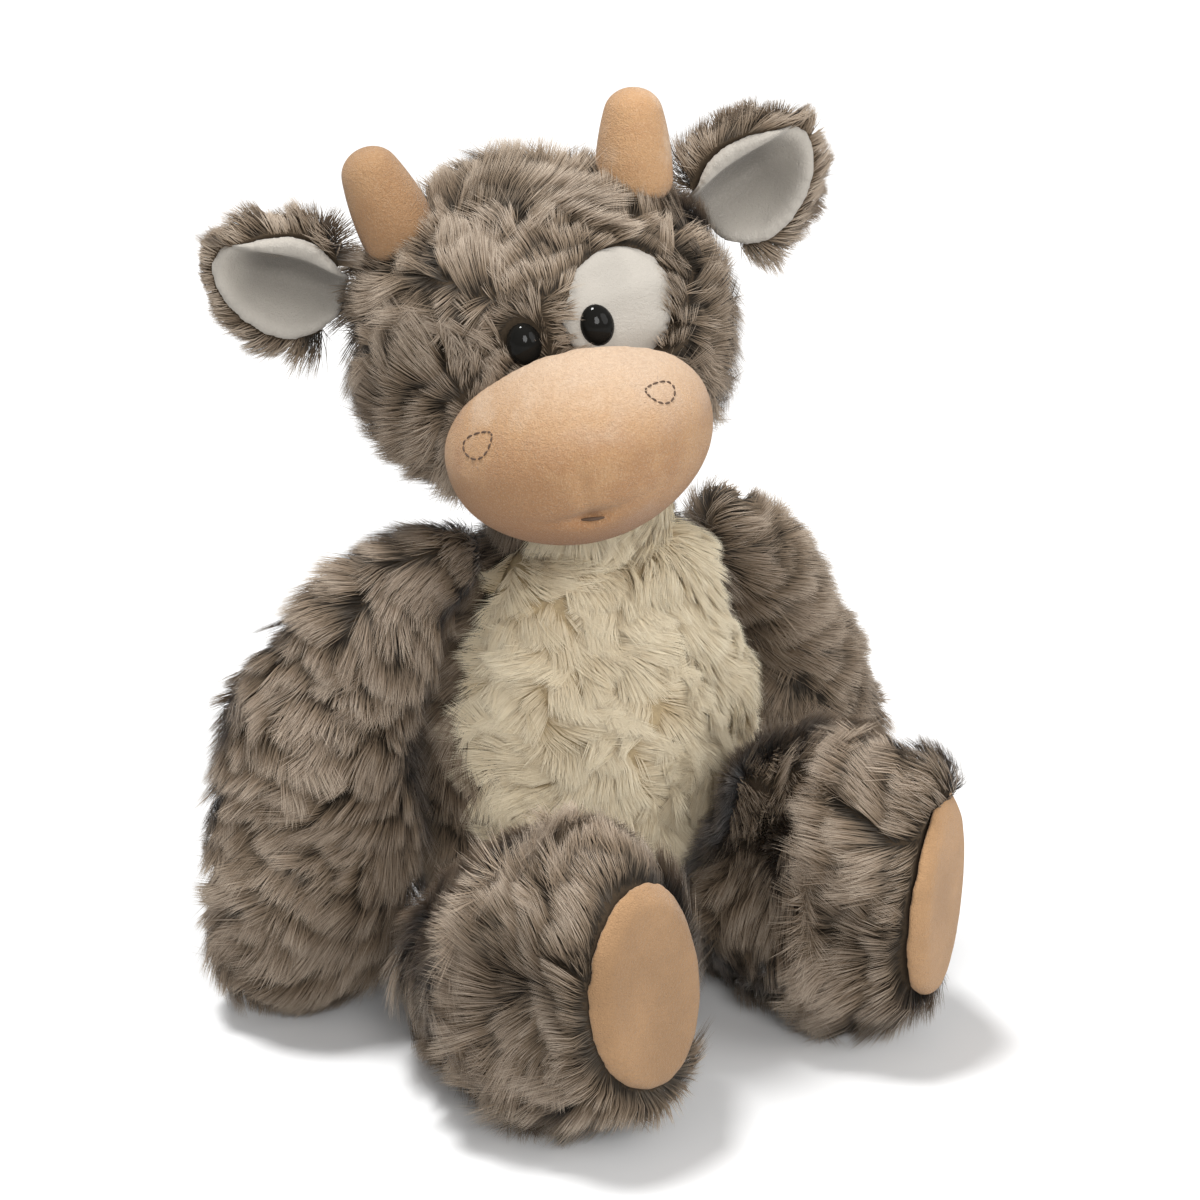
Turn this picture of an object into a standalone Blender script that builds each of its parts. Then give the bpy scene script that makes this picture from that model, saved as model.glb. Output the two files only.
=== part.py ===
"""A seated plush cow: fur and velour covers over fibre stuffing.

Metres, +Z up. The cow faces -Y and its own left side is +X. The origin is on the surface it sits on, under
the middle of the torso. Every stuffed shape is a Form: oval sections strung along a smooth spine. A cover is
the hollow Form, its stuffing the same Form set in by the cover's wall, and a limb is cut back wherever the
piece that carries it would meet it in any position of the joint between them.
"""

from math import atan2, copysign, cos, degrees, pi, radians, sin, sqrt, tan

import bmesh
import bpy
from mathutils import Matrix, Vector
from mathutils.bvhtree import BVHTree

# Walls and clearances
fur_wall = 0.008
velour_wall = 0.0022
fill_gap = 0.0006
sewn_gap = 0.0003
joint_gap = 0.0006
flat_depth = 0.0005
pile_overhang = 0.003

# Torso
torso_height = 0.158
torso_bottom_width = 0.108
torso_belly_width = 0.116
torso_chest_width = 0.100
torso_neck_width = 0.080
torso_depth = 0.099
pellet_bag_height = 0.040
belly_panel_low = 0.046
belly_panel_high = 0.146
belly_panel_half_angle = radians(76)
belly_corner_share = 0.7

# Neck and head
neck_ball_radius = 0.026
neck_sink = 0.008
head_width = 0.121
head_height = 0.104
head_depth = 0.106
head_rise = 0.056
head_forward = 0.014
crown_shift = 0.003
head_turn_angle = radians(-31)
head_nod_angle = radians(-3)
head_tilt_angle = radians(-12.5)
head_width_shares = (0.92, 1.0, 0.98, 0.90)
head_depth_shares = (0.92, 1.0, 1.0, 0.92)

# Muzzle
muzzle_width = 0.0775
muzzle_height = 0.060
muzzle_length = 0.076
muzzle_forward = 0.044
muzzle_drop = 0.0195
muzzle_tilt_angle = radians(-3)
muzzle_height_shares = (0.92, 1.0, 0.92)
muzzle_length_shares = (0.90, 1.0, 0.90)
nostril_spread = 0.029
nostril_rise = 0.014
nostril_width = 0.009
nostril_height = 0.008
nostril_lean = radians(35)
nostril_point_share = 0.35
mouth_drop = 0.020
mouth_width = 0.009
thread_radius = 0.0005

# Eyes, with the eye patch round the left one
eye_width = 0.0104
eye_height = 0.0128
eye_bulge = 0.0045
eye_depth = 0.004
left_eye_across = 0.0145
right_eye_across = -0.0066
eye_rise = 0.0108
shank_radius = 0.0016
shank_length = 0.008
washer_radius = 0.0065
washer_thickness = 0.0012
patch_across = 0.0215
patch_rise = 0.0135
patch_width = 0.033
patch_height = 0.033

# Horns
horn_width = 0.021
horn_length = 0.033
horn_spread = 0.034
horn_root = 0.010
horn_splay = radians(12)
horn_tip_share = 0.86

# Ears
ear_length = 0.050
ear_width = 0.042
ear_thickness = 0.007
ear_cup = 0.009
left_ear_rise = 0.014
right_ear_rise = 0.018
ear_back_set = 0.004
ear_lift = radians(28)
ear_root_cut = 0.007
ear_taper_share = 0.22
lining_margin = 0.005

# Arms
left_shoulder_height = 0.126
right_shoulder_height = 0.139
shoulder_sink = 0.018
shoulder_reach = 0.014
shoulder_drop = 0.010
arm_shoulder_width = 0.046
arm_elbow_width = 0.056
paw_width = 0.068
paw_depth = 0.066
paw_reach = 0.039
paw_set_back = 0.016
paw_height = 0.078
elbow_height_share = 0.59
elbow_reach = 0.032
arm_axis_drop = radians(12)

# Legs
hip_height = 0.048
hip_spread = 0.032
thigh_width = 0.058
foot_width = 0.064
foot_height = 0.098
left_foot_reach = 0.123
right_foot_reach = 0.133
left_foot_spread = 0.052
right_foot_spread = 0.064
foot_length = 0.042
foot_sink = 0.0015
left_foot_yaw = radians(31)
right_foot_yaw = radians(9)
sole_width = 0.046
sole_height = 0.065
sole_rise = 0.002

# Tail
tail_width = 0.012
tail_root_height = 0.046
tail_drop_reach = 0.022
tail_length = 0.050
tuft_width = 0.022
tuft_length = 0.034
tuft_overlap = 0.004

# How far each joint moves, in degrees from where it stands
leg_lift = 12
leg_drop = 10
ear_flop = 22
ear_side_angle = 60
tail_swing = 25
tail_side_angle = 60

# How blunt each form's start and end are: 2 is round
torso_bluntness = (2.7, 2.6)
head_bluntness = (2.2, 2.2)
horn_bluntness = (3.0, 2.6)
arm_bluntness = (2.2, 2.3)
leg_bluntness = (2.2, 6.5)
tail_bluntness = (2.2, 2.6)

# Facets
FINE, PLAIN, COARSE = (20, 13), (16, 11), (12, 8)
ROUND, SWING_STEPS = 20, 48
DOME_STEPS, ROOM_STEPS, NOSTRIL_POINTS, MOUTH_POINTS = 5, 28, 14, 5


def face_outward(bm):
    bm.normal_update()
    bmesh.ops.recalc_face_normals(bm, faces=bm.faces)


def collection(name):
    made = bpy.data.collections.new(name)
    bpy.context.scene.collection.children.link(made)
    return made


def material(name, colour, roughness, metallic=0.0):
    made = bpy.data.materials.new(name)
    made.use_nodes = True
    shader = made.node_tree.nodes["Principled BSDF"]
    shader.inputs["Base Color"].default_value = (*colour, 1.0)
    shader.inputs["Roughness"].default_value = roughness
    shader.inputs["Metallic"].default_value = metallic
    return made


def blend(values, share):
    """The value at a share of the way through values, which stand at even steps."""
    place = min(max(share, 0.0), 1.0) * (len(values) - 1)
    index = min(int(place), len(values) - 2)
    part = place - index
    smooth = part * part * (3 - 2 * part)
    return values[index] * (1 - smooth) + values[index + 1] * smooth


def along(points, share):
    """A point of the smooth curve that runs through points, which stand at even steps."""
    place = min(max(share, 0.0), 1.0) * (len(points) - 1)
    index = min(int(place), len(points) - 2)
    part = place - index
    start, end = points[index], points[index + 1]
    before = points[index - 1] if index else start * 2 - end
    after = points[index + 2] if index + 2 < len(points) else end * 2 - start
    return 0.5 * (
        start * 2
        + (end - before) * part
        + (before * 2 - start * 5 + end * 4 - after) * part**2
        + (start * 3 - before - end * 3 + after) * part**3
    )


class Form:
    """A stuffed shape: oval sections along a spine, closed by rounded ends."""

    def __init__(self, spine, widths, depths, side, bluntness=(2.0, 2.0)):
        self.spine = [Vector(point) for point in spine]
        self.widths = widths
        self.depths = depths
        self.side = Vector(side)
        self.bluntness = bluntness

    def length(self):
        steps = [along(self.spine, i / ROUND) for i in range(ROUND + 1)]
        return sum((b - a).length for a, b in zip(steps, steps[1:]))

    def frame(self, share):
        """The spine's point at a share of its length, with its side, upward and forward directions."""
        step = 1 / (ROUND * ROUND)
        forward = (along(self.spine, share + step) - along(self.spine, share - step)).normalized()
        side = (self.side - forward * self.side.dot(forward)).normalized()
        return along(self.spine, share), side, forward.cross(side), forward

    def point(self, direction, inset):
        """Where the point of a unit sphere lies on the shape, set in from its surface."""
        across = Vector((direction.x, direction.y)).normalized() if direction.xy.length else Vector((0, 0))
        power = self.bluntness[direction.z > 0]
        reach = (abs(direction.z) ** power + direction.xy.length**power) ** (-1 / power)
        height, spread = direction.z * reach, direction.xy.length * reach
        trim = inset / self.length()
        share = trim + (height + 1) / 2 * (1 - 2 * trim)
        centre, side, up, _ = self.frame(share)
        width = (blend(self.widths, share) / 2 - inset) * spread
        depth = (blend(self.depths, share) / 2 - inset) * spread
        return centre + side * width * across.x + up * depth * across.y

    def add_to(self, bm, facets, inset=0.0):
        new = bmesh.ops.create_uvsphere(bm, u_segments=facets[0], v_segments=facets[1], radius=1)["verts"]
        for vert in new:
            vert.co = self.point(vert.co.normalized(), inset)
        faces = {face for vert in new for face in vert.link_faces}
        bmesh.ops.triangulate(bm, faces=list(faces), quad_method="FIXED")
        return new

    def solid(self, facets, inset=0.0):
        bm = bmesh.new()
        self.add_to(bm, facets, inset)
        return bm

    def shell(self, facets, inner_facets, wall, inset=0.0):
        """The hollow shape. A later cut has to open it."""
        bm = self.solid(facets, inset)
        inner = self.add_to(bm, inner_facets, inset + wall)
        faces = {face for vert in inner for face in vert.link_faces}
        bmesh.ops.reverse_faces(bm, faces=list(faces))
        return bm

    def moved(self, matrix):
        spine = [matrix @ point for point in self.spine]
        return Form(spine, self.widths, self.depths, matrix.to_3x3() @ self.side, self.bluntness)

    def surface(self, inset=0.0):
        bm = self.solid(FINE, inset)
        tree = BVHTree.FromBMesh(bm)
        bm.free()
        return tree


class Maker:
    """Puts meshes into the scene: pieces of the cow, and cutters that only shape them."""

    def __init__(self):
        self.parts = collection("plush_cow")
        self.cutters = collection("cutters")
        self.homes = {}
        self.ground = None
        self.finishes = {
            "brown_fur": material("brown_fur", (0.25, 0.20, 0.16), 0.9),
            "cream_fur": material("cream_fur", (0.80, 0.74, 0.60), 0.9),
            "peach_velour": material("peach_velour", (0.80, 0.50, 0.32), 0.8),
            "white_velour": material("white_velour", (0.66, 0.66, 0.64), 0.8),
            "fibre_stuffing": material("fibre_stuffing", (0.85, 0.85, 0.83), 0.95),
            "black_plastic": material("black_plastic", (0.01, 0.01, 0.01), 0.1),
            "clear_plastic": material("clear_plastic", (0.75, 0.75, 0.73), 0.4),
            "pellet_bag": material("pellet_bag", (0.70, 0.68, 0.62), 0.8),
            "brown_thread": material("brown_thread", (0.12, 0.07, 0.04), 0.7),
        }

    def pivot(self, name, matrix, parent=None):
        """An empty on a joint's axis. Its pieces are parented to it, so that turning it turns them."""
        empty = bpy.data.objects.new(name, None)
        self.parts.objects.link(empty)
        empty.empty_display_size = neck_ball_radius
        if parent:
            empty.parent = self.homes[parent]
            empty.matrix_parent_inverse = empty.parent.matrix_world.inverted()
        empty.matrix_basis = matrix
        bpy.context.view_layer.update()
        self.homes[name] = empty

    def piece(self, name, bm, finish, home):
        mesh = bpy.data.meshes.new(name)
        bmesh.ops.transform(bm, matrix=self.homes[home].matrix_world.inverted(), verts=bm.verts)
        bm.to_mesh(mesh)
        bm.free()
        mesh.shade_smooth()
        return self.placed(name, mesh, finish, home)

    def placed(self, name, data, finish, home):
        data.materials.append(self.finishes[finish])
        made = bpy.data.objects.new(name, data)
        self.parts.objects.link(made)
        made.parent = self.homes[home]
        return made

    def cutter(self, name, bm):
        mesh = bpy.data.meshes.new(name)
        bm.to_mesh(mesh)
        bm.free()
        made = bpy.data.objects.new(name, mesh)
        self.cutters.objects.link(made)
        made.hide_render = True
        made.display_type = "WIRE"
        return made


def boolean(piece, cutter, operation="DIFFERENCE"):
    cut = piece.modifiers.new(cutter.name, "BOOLEAN")
    cut.operation = operation
    cut.object = cutter
    cut.solver = "EXACT"
    return cut


def joint_frame(point, axis, towards):
    """A frame on a joint's axis: Z along the axis, X the way its moving piece points."""
    up = Vector(axis).normalized()
    out = (Vector(towards) - up * Vector(towards).dot(up)).normalized()
    turn = Matrix((out, up.cross(out), up)).transposed().to_4x4()
    return Matrix.Translation(point) @ turn


def turned(frame, profile, steps=ROUND):
    """A solid turned about frame's Z from (radius, height) points, its facets clear of the true radius."""
    bm = bmesh.new()
    grow = 1 / cos(pi / steps)
    verts = [bm.verts.new((radius * grow, 0, height)) for radius, height in profile]
    edges = [bm.edges.new(pair) for pair in zip(verts, verts[1:])]
    bmesh.ops.spin(
        bm, geom=verts + edges, cent=(0, 0, 0), axis=(0, 0, 1), angle=2 * pi, steps=steps, use_merge=True
    )
    bmesh.ops.remove_doubles(bm, verts=bm.verts, dist=sewn_gap / 10)
    bmesh.ops.transform(bm, matrix=frame, verts=bm.verts)
    face_outward(bm)
    return bm


def hit_along(tree, frame, start, end):
    """How far from end a ray from start, both in frame, first meets the surface, or None."""
    origin, target = frame @ Vector(start), frame @ Vector(end)
    hit = tree.ray_cast(origin, (target - origin).normalized(), (target - origin).length)[0]
    return None if hit is None else (hit - target).length


def swing_room(tree, frame, low, high, half_height, reach):
    """What a piece that swings about frame's Z, from low to high degrees, leaves to what it swings round."""
    heights = [half_height * (2 * i / ROOM_STEPS - 1) for i in range(ROOM_STEPS + 1)]
    profile = [(0, -half_height), *[(reach, height) for height in heights], (0, half_height)]
    bm = turned(Matrix(), profile, SWING_STEPS)
    half_step, half_rise = 180 / SWING_STEPS, half_height / ROOM_STEPS
    for vert in bm.verts:
        angle, height = degrees(atan2(vert.co.y, vert.co.x)), vert.co.z
        found = [0.0]
        for i in range(ROUND + 1):
            turn = radians(angle + low - half_step + (high - low + half_step * 2) * i / ROUND)
            for level in (height - half_rise, height, height + half_rise):
                start = (reach * cos(turn), reach * sin(turn), level)
                found.append(hit_along(tree, frame, start, (0, 0, level)) or 0.0)
        out = vert.co.xy * (max(found) + sewn_gap) / reach
        vert.co = frame @ Vector((*out, height))
    face_outward(bm)
    return bm


def dish_room(tree, frame, radius, reach):
    """What a piece that swings about frame's Z leaves to its neighbour, which lies below it."""
    heights = []
    for i in range(ROOM_STEPS * DOME_STEPS + 1):
        out = radius * (i / (ROOM_STEPS * DOME_STEPS)) ** 2
        sides = [(out * cos(2 * pi * j / ROUND), out * sin(2 * pi * j / ROUND)) for j in range(ROUND)]
        found = [hit_along(tree, frame, (*side, reach), (*side, -reach)) for side in sides]
        heights.append(max((height - reach for height in found if height is not None), default=0.0))
    profile = []
    for i in range(ROOM_STEPS + 1):
        near = heights[max(i - 1, 0) * DOME_STEPS : (i + 1) * DOME_STEPS + 1]
        height = max(near) + sewn_gap
        profile.append((radius * (i / ROOM_STEPS) ** 2, height))
    return turned(frame, [(0, -reach), (radius, -reach), *reversed(profile)])


def seam_wedge(frame, half_angle, half_height, reach):
    """Where a piece that swings about frame's Z may lie: a wedge that opens from the axis along X."""
    bm = bmesh.new()
    bmesh.ops.create_cone(bm, cap_ends=True, segments=3, radius1=1, radius2=1, depth=1)
    for vert in bm.verts:
        at_axis = vert.co.y > 0
        side = 0 if at_axis else copysign(reach * tan(radians(half_angle)), vert.co.x)
        vert.co = frame @ Vector((0 if at_axis else reach, side, copysign(half_height, vert.co.z)))
    face_outward(bm)
    return bm


def oval_prism(width, height, low, high, matrix):
    """An oval cylinder along its own -Y, from low to high out, put in place by matrix."""
    bm = bmesh.new()
    bmesh.ops.create_cone(bm, cap_ends=True, segments=ROUND, radius1=1, radius2=1, depth=1)
    for vert in bm.verts:
        out = low if vert.co.z < 0 else high
        vert.co = matrix @ Vector((vert.co.x * width / 2, -out, vert.co.y * height / 2))
    face_outward(bm)
    return bm


def lathe(profile, matrix, oval=1.0, oval_from=0.0):
    """Turns (radius, height) points about -Y. Points wider than oval_from are stretched upright by oval."""
    bm = bmesh.new()
    verts = [bm.verts.new((radius, -height, 0)) for radius, height in profile]
    edges = [bm.edges.new(pair) for pair in zip(verts, verts[1:])]
    bmesh.ops.spin(
        bm, geom=verts + edges, cent=(0, 0, 0), axis=(0, 1, 0), angle=2 * pi, steps=ROUND, use_merge=True
    )
    bmesh.ops.remove_doubles(bm, verts=bm.verts, dist=sewn_gap / 10)
    for vert in bm.verts:
        if vert.co.xz.length > oval_from:
            vert.co.z *= oval
        vert.co = matrix @ vert.co
    face_outward(bm)
    return bm


def facing(point, normal):
    """A frame at a point of a surface, with its -Y along the outward normal and its Z upwards."""
    back = -normal.normalized()
    side = back.cross(Vector((0, 0, 1))).normalized()
    up = side.cross(back)
    frame = Matrix((side, back, up)).transposed().to_4x4()
    return Matrix.Translation(point) @ frame


def thread(make, name, points, closed):
    """A stitch of thread on the muzzle: a tube along points."""
    line = bpy.data.curves.new(name, "CURVE")
    line.dimensions = "3D"
    line.bevel_depth = thread_radius
    line.bevel_resolution = 1
    line.use_fill_caps = True
    spline = line.splines.new("POLY")
    spline.points.add(len(points) - 1)
    inverse = make.homes["head"].matrix_world.inverted()
    for point, place in zip(spline.points, points):
        point.co = (*(inverse @ place), 1)
    spline.use_cyclic_u = closed
    make.placed(name, line, "brown_thread", "head")


def torso_form():
    widths = [torso_bottom_width, torso_belly_width, torso_belly_width, torso_chest_width, torso_neck_width]
    depths = [width * torso_depth / torso_belly_width for width in widths]
    top = torso_height
    spine = [(0, 0, -flat_depth), (0, 0, top / 2), (0, 0, top)]
    return Form(spine, widths, depths, (1, 0, 0), torso_bluntness)


def neck_point():
    return Vector((0, 0, torso_height - neck_sink))


def head_matrix():
    """The head's own frame: at its middle, facing its -Y, turned, nodded and tilted about the neck."""
    turned = Matrix.Rotation(head_turn_angle, 4, "Z")
    nodded = Matrix.Rotation(head_nod_angle, 4, "X")
    tilted = Matrix.Rotation(head_tilt_angle, 4, "Y")
    middle = Matrix.Translation((0, -head_forward, head_rise))
    return Matrix.Translation(neck_point()) @ turned @ nodded @ tilted @ middle


def head_form():
    half = head_height / 2
    widths = [head_width * share for share in head_width_shares]
    depths = [head_depth * share for share in head_depth_shares]
    return Form([(0, 0, -half), (0, 0, 0), (0, 0, half)], widths, depths, (1, 0, 0), head_bluntness)


def muzzle_form():
    """The snout, wider than it is high, with its spine from side to side."""
    half = muzzle_width / 2
    spine = [(-half, 0, 0), (0, 0, 0), (half, 0, 0)]
    middle = Matrix.Translation((0, -muzzle_forward, -muzzle_drop))
    tilted = middle @ Matrix.Rotation(muzzle_tilt_angle, 4, "Y")
    spine = [tilted @ Vector(point) for point in spine]
    heights = [muzzle_height * share for share in muzzle_height_shares]
    lengths = [muzzle_length * share for share in muzzle_length_shares]
    return Form(spine, lengths, heights, (0, 1, 0), head_bluntness)


def on_muzzle(across, rise):
    """A place on the muzzle's front, in the head's frame."""
    tilt = Matrix.Rotation(muzzle_tilt_angle, 3, "Y")
    place = tilt @ Vector((across, 0, rise))
    return place.x, place.z - muzzle_drop


def horn_form(side):
    across = side * horn_spread + crown_shift
    top = head_height / 2 * sqrt(1 - (2 * across / head_width) ** 2)
    root = Vector((across, 0, top - horn_root))
    lean = Vector((side * sin(horn_splay), 0, cos(horn_splay)))
    spine = [root, root + lean * horn_length / 2, root + lean * horn_length]
    widths = [horn_width, horn_width, horn_width * horn_tip_share]
    return Form(spine, widths, widths, (0, 1, 0), horn_bluntness)


def arm_form(side, shoulder_height):
    """From inside the shoulder, out and down to the paw, which rests on the ground."""
    chest_half = torso_chest_width / 2
    hip_half = torso_belly_width / 2
    root = (chest_half - shoulder_sink, 0, shoulder_height)
    shoulder = (chest_half + shoulder_reach, paw_set_back / 2, shoulder_height - shoulder_drop)
    elbow = (hip_half + elbow_reach, paw_set_back, shoulder_height * elbow_height_share)
    paw = (hip_half + paw_reach, paw_set_back, paw_height / 2)
    tip = (paw[0], paw_set_back, -flat_depth)
    spine = [Vector((side * x, y, z)) for x, y, z in (root, shoulder, elbow, paw, tip)]
    widths = [arm_shoulder_width, arm_shoulder_width, arm_elbow_width, paw_width, paw_width]
    depths = [arm_shoulder_width, arm_shoulder_width, arm_elbow_width, paw_depth, paw_depth]
    return Form(spine, widths, depths, (0, 1, 0), arm_bluntness)


def leg_form(side, foot_spread, foot_reach, yaw):
    """From inside the hip, forward along the ground to the upright foot."""
    low = -foot_sink
    hip = Vector((side * hip_spread, 0, low + thigh_width / 2))
    sole = Vector((side * foot_spread, -foot_reach, low + foot_height / 2))
    ankle = sole - Vector((sin(yaw), -cos(yaw), 0)) * foot_length
    knee = hip.lerp(ankle, 0.5)
    knee.z = low + thigh_width / 2
    heights = [thigh_width, thigh_width, foot_height, foot_height]
    widths = [thigh_width, thigh_width, foot_width, foot_width]
    return Form([hip, knee, ankle, sole], widths, heights, (1, 0, 0), leg_bluntness)


def tail_hinge():
    """Where the tail's seam meets the torso's back."""
    start = Vector((0, torso_depth, tail_root_height))
    hit = torso_form().surface().ray_cast(start, Vector((0, -1, 0)))[0]
    return hit + Vector((0, sewn_gap, 0))


def tail_form():
    back = tail_hinge().y
    root = Vector((0, back - tail_width, tail_root_height))
    seat = Vector((0, back + tail_width / 2, tail_root_height))
    bend = Vector((0, back + tail_drop_reach, tail_width))
    end = Vector((0, back + tail_length, tail_width / 2 - flat_depth))
    return Form([root, seat, bend, end], [tail_width] * 4, [tail_width] * 4, (1, 0, 0), tail_bluntness)


def ear_sheet(side, length, width, low, high):
    """A cupped leaf, low to high in front of the ear's middle surface, its rim level with its root."""
    bm = bmesh.new()
    bmesh.ops.create_uvsphere(bm, u_segments=PLAIN[0], v_segments=COARSE[1], radius=1)
    lower = [vert for vert in bm.verts if vert.co.z < -sewn_gap]
    bmesh.ops.delete(bm, geom=lower, context="VERTS")
    for vert in bm.verts:
        reach = sqrt(max(1 - vert.co.z, 0)) / max(vert.co.xy.length, sewn_gap)
        x, z = vert.co.x * reach, vert.co.y * reach
        rim = x * x + z * z
        taper = 1 - ear_taper_share * x
        vert.co = Vector((length / 2 * (1 + x), ear_cup * (1 - rim), width / 2 * z * taper))
        vert.co.x *= side
    face_outward(bm)
    if sum(face.normal.y for face in bm.faces) > 0:
        bmesh.ops.reverse_faces(bm, faces=bm.faces)
    bm.normal_update()
    shift = {vert: vert.normal.copy() for vert in bm.verts}
    for vert, normal in shift.items():
        vert.co += normal * high
    bmesh.ops.solidify(bm, geom=bm.faces, thickness=high - low)
    face_outward(bm)
    return bm


def ear_matrix(side, rise, head):
    """The ear's frame: at its root on the head's side, with its length along X."""
    lean = Matrix.Rotation(-side * ear_lift, 4, "Y")
    start = Vector((side * head_width, ear_back_set, rise))
    hit, _, _, _ = head.surface().ray_cast(start, Vector((-side, 0, 0)))
    return Matrix.Translation(hit + Vector((side * sewn_gap, 0, 0))) @ lean


def on_surface(tree, across, rise):
    """The front point of a surface at a place seen from the front, and its normal."""
    hit, normal, _, _ = tree.ray_cast(Vector((across, -head_depth * 2, rise)), Vector((0, 1, 0)))
    return hit, normal


def fan_prism(half_angle, low, high, margin):
    """A wedge of the torso's front, with rounded corners, that opens out from the torso's axis."""
    bm = bmesh.new()
    bmesh.ops.create_grid(bm, x_segments=ROUND // 2, y_segments=ROUND // 4, size=1)
    grown = bmesh.ops.extrude_face_region(bm, geom=bm.faces[:])["geom"]
    outer = {item for item in grown if isinstance(item, bmesh.types.BMVert)}
    middle, reach = (low + high) / 2, (high - low) / 2 + margin
    spread = half_angle + margin / (torso_depth / 2)
    for vert in bm.verts:
        x, y, _ = vert.co
        angle = spread * x * sqrt(1 - belly_corner_share * y * y / 2)
        rise = reach * y * sqrt(1 - belly_corner_share * x * x / 2)
        out = torso_depth * 2 if vert in outer else torso_depth / 8
        vert.co = Vector((out * sin(angle), -out * cos(angle), middle + rise))
    bmesh.ops.triangulate(bm, faces=bm.faces, quad_method="FIXED")
    face_outward(bm)
    return bm


def ball(radius):
    bm = bmesh.new()
    bmesh.ops.create_uvsphere(bm, u_segments=ROUND, v_segments=ROUND // 2, radius=radius)
    bmesh.ops.translate(bm, vec=neck_point(), verts=bm.verts)
    return bm


def cut_level(bm, height, keep_above):
    """Cuts a solid level at a height, keeps one side and closes it."""
    everything = bm.verts[:] + bm.edges[:] + bm.faces[:]
    plane = {"plane_co": (0, 0, height), "plane_no": (0, 0, 1), "dist": sewn_gap / 10}
    sides = {"clear_inner": keep_above, "clear_outer": not keep_above}
    cut = bmesh.ops.bisect_plane(bm, geom=everything, **plane, **sides)
    rim = [item for item in cut["geom_cut"] if isinstance(item, bmesh.types.BMEdge)]
    bmesh.ops.contextual_create(bm, geom=rim)
    face_outward(bm)
    return bm


def add_ground(make):
    """What cuts the pieces level where they stand."""
    bm = bmesh.new()
    bmesh.ops.create_cube(bm, size=1)
    for vert in bm.verts:
        vert.co.x *= right_foot_reach * 6
        vert.co.y *= right_foot_reach * 6
        vert.co.z = 0 if vert.co.z > 0 else -foot_height
    make.ground = make.cutter("ground", bm)


def add_torso(make):
    torso = torso_form()
    neck_room = make.cutter("neck_room", ball(neck_ball_radius + joint_gap))
    make.piece("neck_stuffing", ball(neck_ball_radius), "fibre_stuffing", "neck")
    cover = make.piece("torso_cover", torso.shell(FINE, PLAIN, fur_wall), "brown_fur", "torso")
    panel = make.piece("belly_panel", torso.shell(FINE, PLAIN, fur_wall), "cream_fur", "torso")
    wide = fan_prism(belly_panel_half_angle, belly_panel_low, belly_panel_high, sewn_gap)
    narrow = fan_prism(belly_panel_half_angle, belly_panel_low, belly_panel_high, 0)
    boolean(cover, make.cutter("belly_opening", wide))
    boolean(panel, neck_room)
    boolean(panel, make.cutter("belly_outline", narrow), "INTERSECT")
    inset = fur_wall + fill_gap
    fill = cut_level(torso.solid(PLAIN, inset), pellet_bag_height + fill_gap, True)
    bag = cut_level(torso.solid(PLAIN, inset), pellet_bag_height, False)
    fill = make.piece("torso_stuffing", fill, "fibre_stuffing", "torso")
    make.piece("pellet_bag", bag, "pellet_bag", "torso")
    boolean(cover, neck_room)
    boolean(fill, neck_room)
    boolean(cover, make.ground)
    return neck_room


def add_head(make, neck_room):
    place = head_matrix()
    head = head_form().moved(place)
    cover = make.piece("head_cover", head.shell(FINE, PLAIN, fur_wall), "brown_fur", "head")
    fill = make.piece("head_stuffing", head.solid(PLAIN, fur_wall + fill_gap), "fibre_stuffing", "head")
    boolean(cover, neck_room)
    boolean(fill, neck_room)

    frame = place @ Matrix.Translation((patch_across, 0, patch_rise))
    patch = head.shell(FINE, PLAIN, velour_wall, eye_depth)
    patch = make.piece("eye_patch", patch, "white_velour", "head")
    outline = oval_prism(patch_width, patch_height, 0, head_depth, frame)
    edge = sewn_gap * 2
    opening = oval_prism(patch_width + edge, patch_height + edge, 0, head_depth, frame)
    boolean(patch, make.cutter("patch_outline", outline), "INTERSECT")
    boolean(cover, make.cutter("patch_opening", opening))
    return cover, fill, patch


def add_eye(make, name, across, cover, fill, patch):
    """A safety eye: a dome with a shank through the cloth, and a locking washer on it."""
    hit, normal = on_surface(head_form().surface(eye_depth), across, eye_rise)
    frame = head_matrix() @ facing(hit, normal + Vector((0, -1, 0)))
    half = eye_width / 2
    stretch = eye_height / eye_width
    turns = [pi / 2 * i / DOME_STEPS for i in range(DOME_STEPS)]
    dome = [(half * cos(turn), eye_bulge * sin(turn)) for turn in turns] + [(0, eye_bulge)]
    profile = [(0, -shank_length), (shank_radius, -shank_length), (shank_radius, 0), *dome]
    make.piece(name, lathe(profile, frame, stretch, shank_radius + sewn_gap / 2), "black_plastic", "head")

    bore = shank_radius + sewn_gap
    rim = half + sewn_gap
    deep = -shank_length - fur_wall
    room = [(0, deep), (bore, deep), (bore, -sewn_gap), (rim, -sewn_gap), (rim, head_depth), (0, head_depth)]
    socket = make.cutter(f"{name}_socket", lathe(room, frame, stretch, bore + sewn_gap / 2))
    boolean(cover, socket)
    boolean(patch, socket)

    low = -shank_length + washer_thickness / 2
    high = low + washer_thickness
    ring = [(bore, low), (washer_radius, low), (washer_radius, high), (bore, high), (bore, low)]
    make.piece(f"{name}_washer", lathe(ring, frame), "clear_plastic", "head")

    low, wide = -shank_length - fill_gap, washer_radius + fill_gap
    hollow = [(0, low), (wide, low), (wide, 0), (0, 0)]
    boolean(fill, make.cutter(f"{name}_hollow", lathe(hollow, frame)))


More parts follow.
